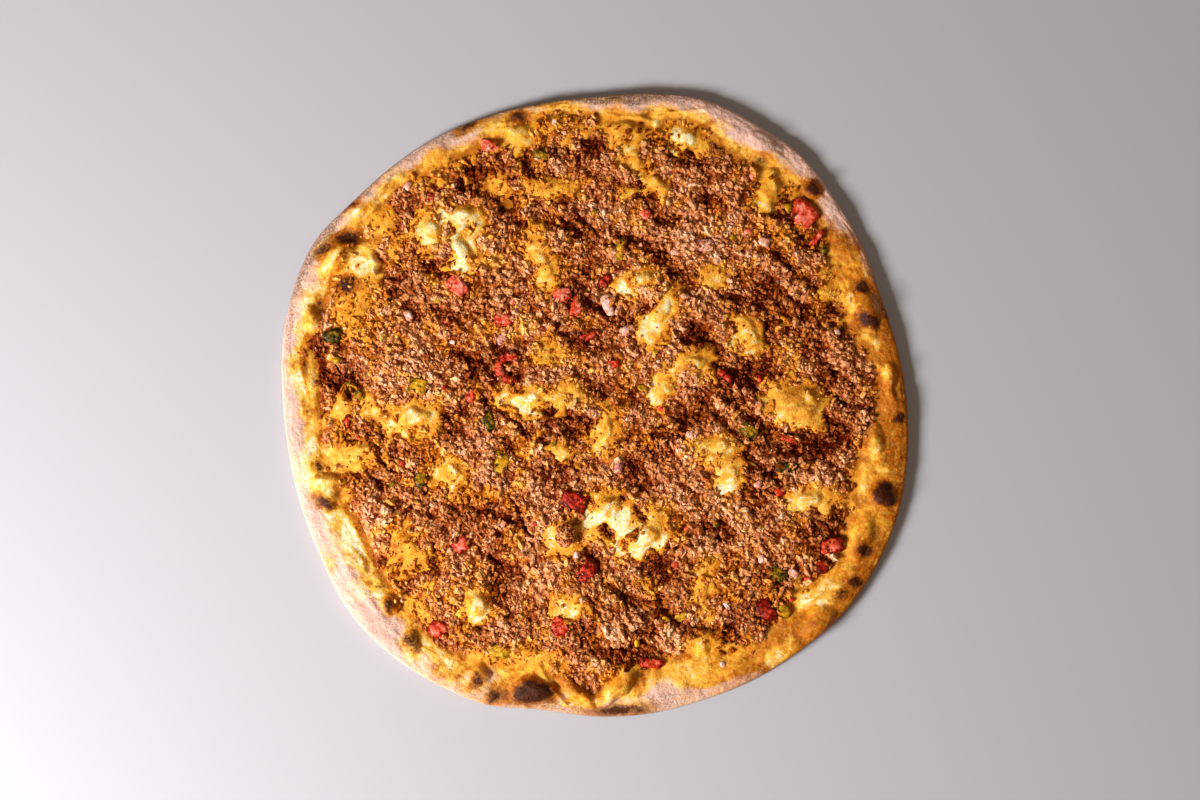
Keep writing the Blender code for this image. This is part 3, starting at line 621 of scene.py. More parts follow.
SCORCHED = (  # and how black
    (144, -46, 6.5, 6.5, 0, 1.0), (150, -6, 4, 4, 0, 1.0), (136, 40, 7.5, 4.5, -30, 1.0),
    (134, 57, 5.5, 4.2, -15, 1.0), (146, 45, 2.2, 5.5, 15, 0.8), (134.5, -71, 4, 4, 0, 0.9),
    (128, -88, 5, 4, 30, 0.9), (121, -95, 5, 3, 30, 0.7), (-101, -99, 2.5, 5, -15, 0.9),
    (-105, -90, 3.5, 2.5, 0, 0.5), (-90, -117, 4, 6, 45, 0.7), (-133, -49, 6, 3.5, -10, 0.9),
    (-136, -31, 3, 3, 0, 0.7), (-142, -2, 1.4, 5, 25, 0.7), (-30, -143, 10, 6, 5, 1.0),
    (12, -150.5, 15, 3.5, 2, 0.8), (-57, -137, 4.5, 4, 0, 0.8), (-47, -144, 6, 3.5, 20, 0.8),
    (107.6, 107.7, 5, 4.2, -40, 1.0), (81.5, 120, 4, 3, 0, 0.6), (-122, 59, 6, 4.2, 15, 1.0),
    (-123, 82, 7, 3.8, 10, 1.0), (-134, 77, 5, 4, 20, 0.7), (-63, 138, 6, 3, 25, 0.7),
    (-37, 142, 5, 3.2, 5, 0.9), (-27, 150, 5.5, 2.2, 8, 0.7), (97, 4, 2.2, 1.5, 20, 0.7),
    (101, 0, 1.6, 2.4, 0, 0.7), (105, -4, 2.0, 1.4, 40, 0.6), (95, -3, 1.4, 1.2, 0, 0.6),
    (103, 6, 1.2, 1.2, 0, 0.5), (108, 1, 1.3, 1.8, 30, 0.6), (99, -7, 1.3, 1.0, 0, 0.5),
    (-120, 99, 4, 2, 52, 0.9), (-137, 52, 2.5, 2.5, 0, 0.8), (-20, -137, 2, 1, 0, 0.5),
    (19, -138, 1.2, 2.5, 20, 0.9), (23, -136, 1, 2.5, 20, 0.9),
)  # fmt: skip
print("marks of fat, toast and scorch:", len(GILDED), len(TOASTED), len(SCORCHED))

# %% [markdown]
# Each field is worked out in the same order as it came about: first what the whole rim and every bubble
# got, then the single marks, which also take away flour and paleness where they lie.

# %% Fields of the dough
def steepness(x, y):
    """How much the dough rises in 1 mm, measured over 2 mm to the right and 2 mm away."""
    east = dough_height(x + 1.0, y) - dough_height(x - 1.0, y)
    north = dough_height(x, y + 1.0) - dough_height(x, y - 1.0)
    return 0.5 * np.hypot(east, north)


def paleness(x, y):
    """How pale the dough is where it is bare. Each place's own counts, less near its edge, and most a
    little to the lower left of its middle, towards the lamp, as a painted highlight. Where places
    overlap, the palest counts."""
    wx, wy = warped(x, y)
    pale = np.zeros(x.shape)
    for spot in BUBBLES + THIN_PLACES:
        # the palest part moves towards the lamp at the lower left: a painted highlight
        painted_highlight_shift = 0.28 * min(spot[2], spot[3])
        middle = smooth((depth_in(wx + painted_highlight_shift, wy + painted_highlight_shift, spot) + 1.5) / 3.5)
        pale = np.maximum(pale, spot[-1] * middle)
    return pale


def unmarked_fields(x, y):
    """Gold, toast, pale, flour and soot without the marks. On the rim they follow the shares round and
    across it, and inside it the depth of the bare dough and its paleness. Paleness gives way to gold on
    steep flanks, as painted shade. Noise of 16 to 3.5 mm breaks them up. Ridges are paler and more
    golden, and less toasted."""
    wx, wy = warped(x, y)
    angle, share = np.arctan2(y, x), rim_share(x, y)
    mist, patchy = ripple(x, y, 16.0, 21, 3), ripple(x, y, 6.0, 26, 3)
    bare, light = bare_depth(x, y), paleness(x, y)
    on_rim = smooth((1.02 - share) / 0.15)
    outer = smooth((0.85 + 0.3 * mist - share) / 0.5)
    flour = radius_at(RIM_FLOUR, angle) * outer * (0.85 + 0.4 * mist)
    dusted = np.clip(flour, 0.0, 1.0)
    soot = radius_at(RIM_SOOT, angle) * smooth((0.6 + 0.3 * mist - share) / 0.4)
    cream = radius_at(RIM_CREAM, angle) * on_rim
    gold = smooth((bare + 7.0) / 4.0)
    gold = np.maximum(gold, on_rim * (1.0 - 0.9 * dusted) * (0.75 + 0.35 * mist))
    toast = 0.8 * smooth((1.5 - bare) / 4.0) + 0.65 * smooth(ripple(x, y, 5.0, 27, 3) * 2.0 - 0.35)
    toast = toast * (1.0 - 0.6 * smooth(light))
    brown = 0.7 * smooth(0.3 + mist) + 0.7 * smooth(ripple(x, y, 6.0, 22, 3))
    brown = (brown + 0.9 * smooth(1.2 - share / 0.25)) * (1.0 - 0.85 * cream)
    toast = np.maximum(toast, brown * on_rim * (1.0 - dusted))
    pale = light * smooth((bare + 0.8) / 2.8) * (0.45 + 0.85 * smooth(0.3 + 1.2 * net(x, y)))
    pale = pale * (0.8 + 0.6 * ripple(x, y, 3.5, 28, 2))
    pale = np.maximum(pale, cream * (0.74 + 0.8 * patchy))
    # painted shade: less cream on steep flanks, so that they read gold
    pale = pale * (1.0 - 0.6 * smooth(steepness(x, y) / 0.45 - 0.4))
    for ridge in RIDGES:
        top = smooth((depth_along(wx, wy, ridge) + 1.5) / 3.5)
        pale = np.maximum(pale, top * (0.30 + 0.50 * dusted + 0.6 * patchy))
        gold = np.maximum(gold, 0.8 * top)
        toast = toast * (1.0 - 0.5 * top)
    return gold, toast, pale, flour, soot


def dough_fields(x, y):
    """The six fields at each place, from 0 to 1. A mark is its strength times a smooth step of the depth
    in it, and a scorch is char inside a wider ring of toast, with a more ragged edge."""
    wx, wy = warped(x, y)
    gold, toast, pale, flour, soot = unmarked_fields(x, y)
    for spot in GILDED:
        deep = spot[-1] * smooth((depth_in(wx, wy, spot) + 2.0) / 3.0)
        gold = np.maximum(gold, deep)
        flour = flour * (1.0 - deep)
    for spot in TOASTED:
        toast = np.maximum(toast, spot[-1] * smooth((depth_in(wx, wy, spot) + 2.0) / 4.0))
        flour = flour * (1.0 - 0.8 * spot[-1] * smooth((depth_in(wx, wy, spot) + 1.0) / 3.0))
    char = np.zeros(x.shape)
    wx, wy = wx + 1.3 * ripple(x, y, 3.5, 24, 2), wy + 1.3 * ripple(x, y, 3.5, 25, 2)
    for spot in SCORCHED:
        deep = depth_in(wx, wy, spot)
        char = np.maximum(char, spot[-1] * smooth((deep + 0.6) / 3.0))
        blister = spot[-1] * smooth((deep + 3.0) / 3.4)
        toast = np.maximum(toast, 1.1 * blister)
        pale = pale * (1.0 - blister)
        flour = flour * (1.0 - 0.8 * blister)
    fields = {"gold": gold, "toast": toast, "pale": pale, "flour": flour, "soot": soot, "char": char}
    return {name: np.clip(values, 0.0, 1.0) for name, values in fields.items()}


blister = dough_fields(np.array([144.0]), np.array([-46.0]))
print("fields at the largest blister:", {name: round(float(own[0]), 2) for name, own in blister.items()})

# %% [markdown]
# The bread itself: rings inside the topping's edge lie on the dough with its bubbles, and the last rings
# follow the section of the rim. The section's points are joined by straight pieces, which many rings
# and the relief round off. The underside is toasted evenly.

# %% The bread
def bread_surface(inner_rings):
    """Points, faces and fields. Inside, radius is ring / inner rings times the topping's radius. On
    the rim, inset and height run through the section's points."""
    ring, angle, quads, loop = disc_grid(inner_rings + int(RIM_SECTION[-1, 0]))
    topping, edge = radius_at(TOPPING_RADII, angle), radius_at(EDGE_RADII, angle)
    step = np.interp(ring - inner_rings, RIM_SECTION[:, 0], np.arange(len(RIM_SECTION)))
    share, inset, body, rise = (np.interp(step, np.arange(len(RIM_SECTION)), c) for c in RIM_SECTION.T[1:])
    outside = edge - share * (edge - topping) - inset
    radius = np.where(ring < inner_rings, ring / inner_rings * topping, outside)
    x, y = radius * np.cos(angle), radius * np.sin(angle)
    section = DOUGH_TOP * body + rise * (rim_height(angle) - DOUGH_TOP)
    above = smooth((5.2 - step) / 1.6)
    z = np.maximum(section + above * (dough_height(x, y) - section), 0.0)
    fields = dough_fields(x, y)
    under = smooth((step - 5.0) / 1.5)
    fields["toast"] = np.maximum(fields["toast"], 0.6 * under)
    return np.stack([x, y, z], axis=-1), [quads, loop[::-1][None, :]], fields


points, faces, fields = bread_surface(inner_rings=119)
make_piece("bread_crust", points, faces, BAKED_DOUGH, "baked_dough", ("bread",), **fields)

# %% [markdown]
# Cooked mince is a heap of crumbs from 1 to 5 mm, browned and wet with fat, which gives small weak
# glints. The layer under the crumbs has grains as relief, and it is painted darker than the crumbs and
# darker still in its hollows: painted shade between the crumbs. The finish reads two fields: tone, from
# 0 for a dark crumb to 1 for a pale one, which also holds painted shade and painted highlights, and
# fat, where golden fat shines through.

# %% Finish of the minced meat
MEAT_COLOURS = ("450a03", "8a3912", "c67b47", "e8ab82", "f6d1b8")
FATTY_COLOURS = ("4b1001", "9e4a05", "dc8a20", "f5ba58", "ffde9c")


def minced_meat_finish():
    """Tone, curds and noise of 5 and 0.8 mm pick a place on two ramps from dark to pale, one of lean
    meat and one of fatty meat, and fat with noise of 3.5 mm blends them. A curd is one minus the
    distance to the nearest point of a warped net of 2 mm, so its border is low, and darker as painted
    shade between the curds. The glints have the colour of browned fat."""
    material, tree, shader, place = new_finish(
        "minced_meat", Specular_IOR_Level=0.12, Coat_Weight=0.04, Coat_Roughness=0.12
    )
    shader.inputs["Specular Tint"].default_value = linear("ff9c60")
    own = node(tree, "Attribute", {}, attribute_name="tone").outputs["Fac"]
    warp = node(tree, "TexNoise", noise_of(place, 2.0, 2.0, 0.5)).outputs["Color"]
    move = {0: warp, 1: (1.6 * MM,) * 3, 2: place}
    moved = node(tree, "VectorMath", move, operation="MULTIPLY_ADD").outputs[0]
    away = node(tree, "TexVoronoi", {"Vector": moved, "Scale": 480.0}).outputs["Distance"]
    curd = node(tree, "MapRange", {0: away, 1: 0.0, 2: 0.8, 3: 1.0, 4: 0.0}).outputs[0]
    coarse = node(tree, "TexNoise", noise_of(place, 5.0, 2.0)).outputs["Fac"]
    fine = node(tree, "TexNoise", noise_of(place, 0.8, 2.0)).outputs["Fac"]
    # the curds' borders darken the colour: painted shade between the curds
    for pattern, weight in ((coarse, 0.25), (fine, 0.75), (curd, 0.35)):
        own = node(tree, "Math", {0: pattern, 1: weight, 2: own}, operation="MULTIPLY_ADD").outputs[0]
    share = node(tree, "MapRange", {0: own, 1: 0.64, 2: 1.68}).outputs[0]
    fat = node(tree, "Attribute", {}, attribute_name="fat").outputs["Fac"]
    drift = node(tree, "TexNoise", noise_of(place, 3.5)).outputs["Fac"]
    fat = node(tree, "Math", {0: drift, 1: 1.6, 2: fat}, operation="MULTIPLY_ADD").outputs[0]
    fat = node(tree, "MapRange", {0: fat, 1: 0.8, 2: 1.65}).outputs[0]
    brown = node(tree, "ValToRGB", {0: share}, MEAT_COLOURS).outputs["Color"]
    golden = node(tree, "ValToRGB", {0: share}, FATTY_COLOURS).outputs["Color"]
    greasy = node(tree, "Mix", {0: fat, 6: brown, 7: golden}, data_type="RGBA")
    tree.links.new(greasy.outputs[2], shader.inputs["Base Color"])
    gloss = node(tree, "MapRange", {0: own, 3: 0.40, 4: 0.65}).outputs[0]
    tree.links.new(gloss, shader.inputs["Roughness"])
    threads = node(tree, "TexNoise", noise_of(place, 0.9)).outputs["Fac"]
    fibre = node(tree, "Math", {0: threads, 1: 0.5, 2: curd}, operation="MULTIPLY_ADD")
    bump = node(tree, "Bump", {"Height": fibre.outputs[0], "Strength": 0.8, "Distance": 0.9 * MM})
    tree.links.new(bump.outputs["Normal"], shader.inputs["Normal"])
    return material


MINCED_MEAT = minced_meat_finish()
print("colours of the meat, from dark to pale:", *MEAT_COLOURS)

# %% [markdown]
# Tomato, pepper and onion are diced and mixed into the mince, so they lie in it up to their shoulders.
# Their places come before the meat, because the meat sinks under them and few crumbs lie on them.

# %% Places of the vegetables
TOMATO_DICE = (  # x, y, length, width, turn, and how pale
    (-67, 58, 10, 8, -50, 0.82), (-16, 54, 9.5, 6.5, 15, 0.7), (103.5, 93.5, 12.5, 10, -38, 0.66),
    (-10, -48.5, 12, 8.5, -20, 0.18), (-77, -112, 10, 8, -30, 0.5), (-4, -83, 12, 8, 50, 0.18),
    (-17, -110, 10, 7.5, -60, 0.4), (117, -70.5, 10, 6.5, 5, 0.5), (112, -80.5, 9, 6, -15, 0.2),
    (84.5, -102, 11.5, 7, -65, 0.08), (28, -128, 11, 5, -8, 0.45), (96, -18, 9.5, 3.2, -15, 0.6),
    (110.5, 82, 10, 3.2, 50, 0.55), (-9, 47, 10, 5, 70, 0.6), (-45, 41, 9.5, 6, 0, 0.55),
    (5, 60, 8, 5, 60, 0.2), (-52, 127.5, 9.5, 5.5, -12, 0.7), (-66, -70, 8.5, 7, 40, 0.65),
    (-3, 33, 9.5, 4, 25, 0.45),
)  # fmt: skip
PEPPER_DICE = (
    (-87, 9, 10.5, 9, -20, 0.75), (-118, 6, 12, 4, -50, 0.65), (-129, 33, 8.5, 6, 20, 0.15),
    (13, 76, 10, 4.2, 85, 0.7), (-26, 123, 8.5, 4.5, -15, 0.45), (-46, -30, 11, 7, 80, 0.7),
    (-47, -122, 11, 6, -15, 0.75), (95, -32, 10.5, 4.5, -5, 0.05), (77, -14, 8.5, 5, -30, 0.45),
    (90, -84, 10.5, 6, -40, 0.35), (-86, -38, 8.5, 6.5, 60, 0.3), (-52, -9, 10.5, 8, -60, 0.2),
    (92.5, -101.5, 9.5, 5, -50, 0.75),
)  # fmt: skip
ONION_DICE = (
    (7, 48, 10, 5, -75, 0.75), (16, 36, 8.5, 4.5, 20, 0.55), (55, 78, 9.5, 5.5, 0, 0.5),
)  # fmt: skip
TOMATO_CURL = (-41.5, 17, 5.8, 4.0, 50, 300)  # x, y, radius, width, first and last angle
TOMATO_BITS = (  # x, y, size, and how pale
    (-82, 101, 5.5, 0.4), (25, 94, 6, 0.6), (-74, 7, 5.5, 0.35), (-84, 21, 6, 0.5), (-61, 4, 6, 0.4),
    (10, 19, 6, 0.4), (66, 12, 6, 0.3), (91.5, -44, 5, 0.4), (-122, -9, 6, 0.2), (-73, 40, 4, 0.5),
    (33, -3, 4, 0.5), (63, 15, 3.5, 0.4), (82, 12, 4, 0.3), (97, -97, 4, 0.5), (105, -87, 4, 0.4),
    (-117, -16, 4, 0.3), (79, 113, 4, 0.8), (76, 85, 4, 0.7), (-40, 50, 3.5, 0.6), (-26, 36, 3.5, 0.5),
    (46, -62, 3.5, 0.4), (-30, -60, 3.5, 0.5), (60, 95, 4, 0.5), (-95, -30, 3.5, 0.4), (40, -80, 4, 0.5),
)  # fmt: skip
PEPPER_BITS = (
    (-128, 21, 6, 0.7), (43, -105, 6, 0.65), (24, 7, 5.5, 0.5), (-78, 51, 4.5, 0.6), (66, 43, 4, 0.5),
    (83, -62, 4, 0.5), (97, -115, 4, 0.6), (69, 82, 4, 0.5), (114, 76, 4.5, 0.2), (96, 97, 4, 0.6),
    (35, -107, 3.5, 0.8), (21, -118, 3.5, 0.85), (-20, -20, 3.5, 0.5), (-100, -40, 3.5, 0.5),
    (30, 25, 3.5, 0.6), (60, -60, 3.5, 0.4), (-55, 65, 3.5, 0.6), (50, 50, 3.5, 0.4), (0, 95, 3.5, 0.5),
)  # fmt: skip
ONION_BITS = (
    (-46, 32, 6, 0.25), (98, -84, 5.5, 0.5), (12, -32, 6, 0.2), (84, 80, 6, 0.55), (81, -40, 4.5, 0.4),
    (28, -63, 4, 0.15), (-93, 108, 5, 0.6), (-9, -75, 4, 1.0), (82, -77, 4, 0.65), (63, -129, 4, 0.6),
    (-92, 43, 5, 0.55), (47, -16, 3.5, 0.9), (-70, 30, 3.5, 0.6), (40, 75, 4, 0.5), (-45, -60, 4, 0.5),
    (120, 35, 4, 0.6), (-20, 140, 4, 0.8), (65, -100, 4, 0.7),
)  # fmt: skip


def on_dice(x, y):
    """How deep each place lies in the outline of a dice or of the curl, in millimetres."""
    ring = np.hypot(x - TOMATO_CURL[0], y - TOMATO_CURL[1])
    deep = 0.5 * TOMATO_CURL[3] - np.abs(ring - TOMATO_CURL[2])
    for spot in TOMATO_DICE + PEPPER_DICE + ONION_DICE:
        deep = np.maximum(deep, depth_in(x, y, (spot[0], spot[1], spot[2] / 2, spot[3] / 2, spot[4])))
    return deep


print(len(TOMATO_DICE) + len(PEPPER_DICE) + len(ONION_DICE), "dice and one curl")

# %% [markdown]
# The mince lies in clumps of 5 to 6 mm with gaps between them, and longer furrows run down to the right
# between drifts of it. Both are low, and little light gets in, so their colour is painted darker as
# painted shade. The layer is a height over a disc, because nothing in it overhangs: loose crumbs do that.

# %% The layer of meat
CORE_SINK = 0.9  # under the level of the meat, to leave room for the crumbs
UNDER_DOUGH = 0.9  # how far it dives under bare dough
MEAT_FOOT, THINNEST = 1.4, 0.3  # how deep its flat foot lies in the dough, and its least thickness
FURROW_TURN = math.radians(-38.0)
# A drift makes the meat paler by its number, darker where that is below 0, and less fatty where paler.
DRIFTS = (  # leaner or drier meat, and how much paler it is
    (-3, -28, 17, 13, -30, 0.24), (-60, -52, 28, 14, -10, -0.08), (0, -94, 26, 8, 0, -0.06),
    (22, 90, 34, 10, 0, 0.10), (80, 68, 24, 26, 0, 0.10), (96, 42, 20, 22, 0, 0.10),
    (100, -14, 26, 11, 0, 0.08), (72, 14, 26, 22, 0, 0.06), (33, -112, 24, 10, 0, 0.08),
    (25, -83, 8, 6, 0, 0.15),
)  # fmt: skip


def furrows(x, y):
    """1 in the bottom of a furrow and 0 between them. They run down to the right, 3 mm wide and 10 to
    30 mm long: where a noise on squeezed places crosses 0, and where a broad noise lets them be."""
    wx, wy = warped(x, y)
    c, s = math.cos(FURROW_TURN), math.sin(FURROW_TURN)
    crossing = np.abs(ripple((c * wx + s * wy) / 3.0, c * wy - s * wx, 10.0, 47, 2))
    return smooth(1.15 - crossing / 0.4) * smooth(0.4 + 1.7 * ripple(x, y, 26.0, 48, 2))


def clumps(x, y):
    """How far the middle of the nearest clump is, in clump sizes, and the clump's own number."""
    return grains(*warped(x, y), 5.6, 49)


def meat_relief(x, y):
    """Swells of 10 mm, clumps, grains of 3.2 and 2 mm, and furrows. It sinks 1 mm under the dice."""
    clump, _ = clumps(x, y)
    coarse, _ = grains(x, y, 3.2, 41)
    fine, _ = grains(x, y, 2.0, 42)
    relief = 0.3 + 0.8 * ripple(x, y, 10.0, 43, 2) + 1.4 * (0.5 - clump) - 2.0 * furrows(x, y)
    relief = relief + 1.0 * (0.5 - coarse) + 0.6 * (0.5 - fine)
    sunk = smooth((on_dice(x, y) + 1.0) / 1.5)
    return relief - sunk * (relief + 1.0)


def meat_core(x, y):
    """Height of the layer: its level and relief where it covers, and under the dough elsewhere."""
    cover, relief = meat_cover(x, y), meat_relief(x, y)
    level = meat_height(x, y) - CORE_SINK + relief
    return cover * level + (1.0 - cover) * (dough_height(x, y) - UNDER_DOUGH), relief


def fatness(x, y):
    """How much golden fat shows: near bare dough, and in drifts of noise."""
    drift = 0.65 * smooth(1.8 * ripple(x, y, 9.0, 46, 3) - 0.05)
    for spot in DRIFTS:
        drift = drift - 1.5 * spot[5] * smooth(0.3 + over(x, y, spot))
    return np.clip(0.9 * smooth((bare_depth(x, y) + 3.5) / 4.5) + drift, 0.0, 1.0)


def shade(x, y):
    """Painted shade in the hollows, the furrows and the gaps between clumps, and a painted highlight on
    the mounds; besides these, paler or darker in drifts of 14 mm and from clump to clump. Near bare
    dough the meat is thin, so its painted shade is weaker."""
    wx, wy = warped(x, y)
    clump, own = clumps(x, y)
    painted_shade_amount, pale = furrows(x, y), np.zeros(x.shape)
    # painted shade: the furrows and the hollows are darker
    for spot in HOLLOWS:
        painted_shade_amount = np.maximum(painted_shade_amount, (0.3 + 0.55 * spot[5]) * smooth(0.2 + 1.2 * over(wx, wy, spot)))
    # painted highlight: the mounds are paler
    for spot in MOUNDS:
        pale = np.maximum(pale, 0.08 * smooth(0.4 + over(wx, wy, spot)))
    for spot in DRIFTS:
        pale = pale + spot[5] * smooth(0.3 + over(wx, wy, spot))
    thick = 1.0 - 0.6 * smooth((bare_depth(x, y) + 3.0) / 3.0)
    drift = 0.10 * ripple(x, y, 14.0, 45, 2) + 0.16 * (own - 0.5) + pale
    # painted shade in the gaps between clumps, weaker where the meat is thin
    return drift - thick * (0.265 * painted_shade_amount + 0.10 * smooth((clump - 0.45) / 0.25))


def meat_surface(rings):
    """A closed layer: the top over a disc a little wider than the topping, and a flat foot in the dough."""
    ring, angle, quads, loop = disc_grid(rings)
    radius = ring / rings * (radius_at(TOPPING_RADII, angle) + 1.0)
    x, y = radius * np.cos(angle), radius * np.sin(angle)
    z, relief = meat_core(x, y)
    foot = DOUGH_TOP - MEAT_FOOT
    z = np.maximum(z, foot + THINNEST)
    points = np.stack([x, y, z], axis=-1)
    lower = points[loop] * (1, 1, 0) + (0, 0, foot)
    below = np.arange(len(loop)) + len(points)
    wall = np.stack([loop, below, np.roll(below, -1), np.roll(loop, -1)], axis=-1)
    # painted shade: the layer is darker than its crumbs, and darker where its relief is low
    tone = np.clip(0.35 + 0.14 * relief + shade(x, y), 0.0, 1.0)
    fields = {"tone": tone, "fat": fatness(x, y)}
    fields = {name: np.concatenate([values, np.zeros(len(loop))]) for name, values in fields.items()}
    return np.vstack([points, lower]), [quads, wall, below[::-1][None, :]], fields


points, faces, fields = meat_surface(rings=145)
make_piece("meat_layer", points, faces, MINCED_MEAT, "minced_meat", ("meat",), **fields)

# %% [markdown]
# Cooked tomato, pepper and onion differ in colour only. They are soft and wet, so they glint, and light
# goes in a little. A field on each piece picks the shade, and finer noise mottles and wrinkles it.

# %% Finishes of the vegetables
def vegetable_finish(name, colours, roughness, depth):
    """A ramp of colours by the tone field and noise, a roughness, and how deep light goes in, in mm."""
    material, tree, shader, place = new_finish(
        name, Specular_IOR_Level=0.15, Coat_Weight=0.05, Coat_Roughness=0.08, Roughness=roughness,
        Subsurface_Weight=0.2, Subsurface_Scale=depth * MM,
    )  # fmt: skip
    own = node(tree, "Attribute", {}, attribute_name="tone").outputs["Fac"]
    noise = node(tree, "TexNoise", noise_of(place, 2.2, 4.0, 0.6)).outputs["Fac"]
    share = node(tree, "Math", {0: noise, 1: 2.4, 2: own}, operation="MULTIPLY_ADD").outputs[0]
    share = node(tree, "MapRange", {0: share, 1: 1.1, 2: 2.3}).outputs[0]
    flesh = node(tree, "ValToRGB", {0: share}, colours).outputs["Color"]
    tree.links.new(flesh, shader.inputs["Base Color"])
    wrinkles = node(tree, "TexNoise", noise_of(place, 1.6, 4.0, 0.6)).outputs["Fac"]
    bump = node(tree, "Bump", {"Height": wrinkles, "Strength": 0.9, "Distance": 0.8 * MM})
    tree.links.new(bump.outputs["Normal"], shader.inputs["Normal"])
    return material


TOMATO = vegetable_finish("tomato", ("560600", "a41c06", "d64624", "f07c62", "ffaa9a"), 0.35, 1.5)
PEPPER = vegetable_finish("green_pepper", ("201c02", "5c4804", "a27404", "ce9410", "f0b83c"), 0.35, 1.5)
ONION = vegetable_finish("onion", ("8a4a58", "c47c70", "e2a47c", "f0bcb4", "fbdede"), 0.4, 2.5)
print("vegetables:", TOMATO.name, PEPPER.name, ONION.name)

# %% [markdown]
# Each dice is a ball made boxy: a cooked cube has round edges, dented sides and a bend, and it fills the
# height of its solid. The smaller bits have the same shape, and each kind of them is one mesh.

# %% Dice and bits
def ball(subdivisions):
    """Points and triangles of an icosphere of radius 1."""
    shape = bmesh.new()
    bmesh.ops.create_icosphere(shape, subdivisions=subdivisions, radius=1.0)
    points = np.array([v.co[:] for v in shape.verts])
    faces = np.array([[v.index for v in f.verts] for f in shape.faces])
    shape.free()
    return points, faces


def dice(x, y, foot, top, length, width, turn, seed, detail=4):
    """A box with round edges: in each direction the radius is one over the fourth root of the sum of
    the fourth powers of its parts. Noise dents it, and its middle bends up with the square of u."""
    points, faces = ball(detail)
    boxy = points / (np.abs(points) ** 4.0).sum(axis=1, keepdims=True) ** 0.25
    u, v, w = boxy.T * np.array([[length / 2], [width / 2], [(top - foot) / 2]])
    dent = 0.22 * ripple(u + 2.0 * w, v - 2.0 * w, 3.0, seed, 2) + 0.16 * ripple(u, v, 6.0, seed + 1)
    u, v = u * (1.0 + dent + 0.15 * v / width), v * (1.0 + 1.3 * dent - 0.15 * u / length)
    bend = 0.35 * (1.0 - (2.0 * u / length) ** 2) + 0.45 * ripple(u, v, 2.6, seed + 2, 2)
    a = math.radians(turn)
    c, s = math.cos(a), math.sin(a)
    z = (foot + top) / 2 + w + bend - 0.3
    return np.stack([x + c * u - s * v, y + s * u + c * v, z], axis=-1), faces


def dice_pieces(kind, spots, finish):
    """One piece for each solid of this kind, as high as that solid, and darker along its edge."""
    for number, (x, y, length, width, turn, pale) in enumerate(spots, 1):
        solid = f"{kind}_{number:02d}"
        low, high = (corner[2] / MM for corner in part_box(solid))
        points, faces = dice(x, y, low, high + 0.3, length, width, turn, 7 * number)
        px, py = points[:, 0], points[:, 1]
        edge = np.clip(1.0 - depth_in(px, py, (x, y, length / 2, width / 2, turn)), 0.0, 1.0)
        tone = pale - 0.25 * edge + 0.15 * ripple(px, py, 3.0, number, 2)
        make_piece(f"{solid}_dice", points, [faces], finish, kind, (solid,), tone=tone)


def joined_bits(kind, spots, finish, seed):
    """Smaller bits as one mesh, turned at random, 2 mm deep in the meat and standing 0.8 mm out of it."""
    rng = np.random.default_rng(seed)
    all_points, all_faces, tones = [], [], []
    for number, (x, y, size, pale) in enumerate(spots):
        level = meat_height_at(x, y)
        length, width = size * rng.uniform(0.9, 1.15), size * rng.uniform(0.5, 0.8)
        points, faces = dice(
            x, y, level - 2.0, level + 0.8, length, width, rng.uniform(0, 180), seed + 3 * number, 3
        )
        all_faces.append(faces + len(points) * number)
        all_points.append(points)
        tones.append(np.full(len(points), pale))
    make_piece(f"{kind}_bits", np.vstack(all_points), all_faces, finish, kind, tone=np.concatenate(tones))


dice_pieces("tomato", TOMATO_DICE, TOMATO)
dice_pieces("green_pepper", PEPPER_DICE, PEPPER)
dice_pieces("onion", ONION_DICE, ONION)
joined_bits("tomato", TOMATO_BITS, TOMATO, 300)
joined_bits("green_pepper", PEPPER_BITS, PEPPER, 400)
joined_bits("onion", ONION_BITS, ONION, 500)

# %% [markdown]
# One slice of tomato has curled up into a C. It is a tube with a flattened section, carried along an
# arc: the arc gives the place, the section's two angles give the thickness, and both ends close.

# %% The curled slice
def curl_surface(x, y, radius, width, first, last, steps=48, sides=16):
    """Round the arc from the first angle to the last, an ellipse half the width wide, whose size
    follows the fourth root of 1 - t to the eighth, so that both ends close bluntly."""
    low, high = (corner[2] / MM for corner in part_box("tomato_curl"))
    t = np.linspace(-1.0, 1.0, steps)[:, None]
    angle = np.radians(first + (last - first) * (t + 1) / 2)
    round_ = np.linspace(0, math.tau, sides, endpoint=False)[None, :]
    full = np.maximum(1.0 - t**8, 0.0) ** 0.25 * (1.0 + 0.15 * ripple(t * 6.0, round_ + 0 * t, 1.0, 77))
    out = radius + 0.5 * width * full * np.cos(round_)
    z = (low + high) / 2 + 0.5 * (high - low + 0.8) * full * np.sin(round_)
    points = np.stack([x + out * np.cos(angle), y + out * np.sin(angle), z], axis=-1).reshape(-1, 3)
    index = np.arange(steps * sides).reshape(steps, sides)
    near, far = index[:-1], index[1:]
    quads = np.stack([near, far, np.roll(far, -1, axis=1), np.roll(near, -1, axis=1)], axis=-1)
    ends = [index[0][None, :], index[-1][None, ::-1]]
    return points, [quads.reshape(-1, 4)[:, ::-1], *ends]


points, faces = curl_surface(*TOMATO_CURL)
tone = 0.35 + 0.3 * ripple(points[:, 0], points[:, 1], 4.0, 78)
make_piece("tomato_curl_slice", points, faces, TOMATO, "tomato", ("tomato_curl",), tone=tone)

# %% [markdown]
# The crumbs on top are real shapes, over twenty thousand of them, so each kind is one mesh. Every crumb
# has 20 faces: an icosahedron whose corners move in and out, which looks torn and not like a pebble.
# Places come from squares with one crumb each, moved at random, which covers evenly without a pattern.

# %% Scattering crumbs
CORNERS = 12  # of an icosahedron
OUTERMOST, STRAY = 165.0, 7.0  # how far out the squares go, and how far crumbs fall past the topping


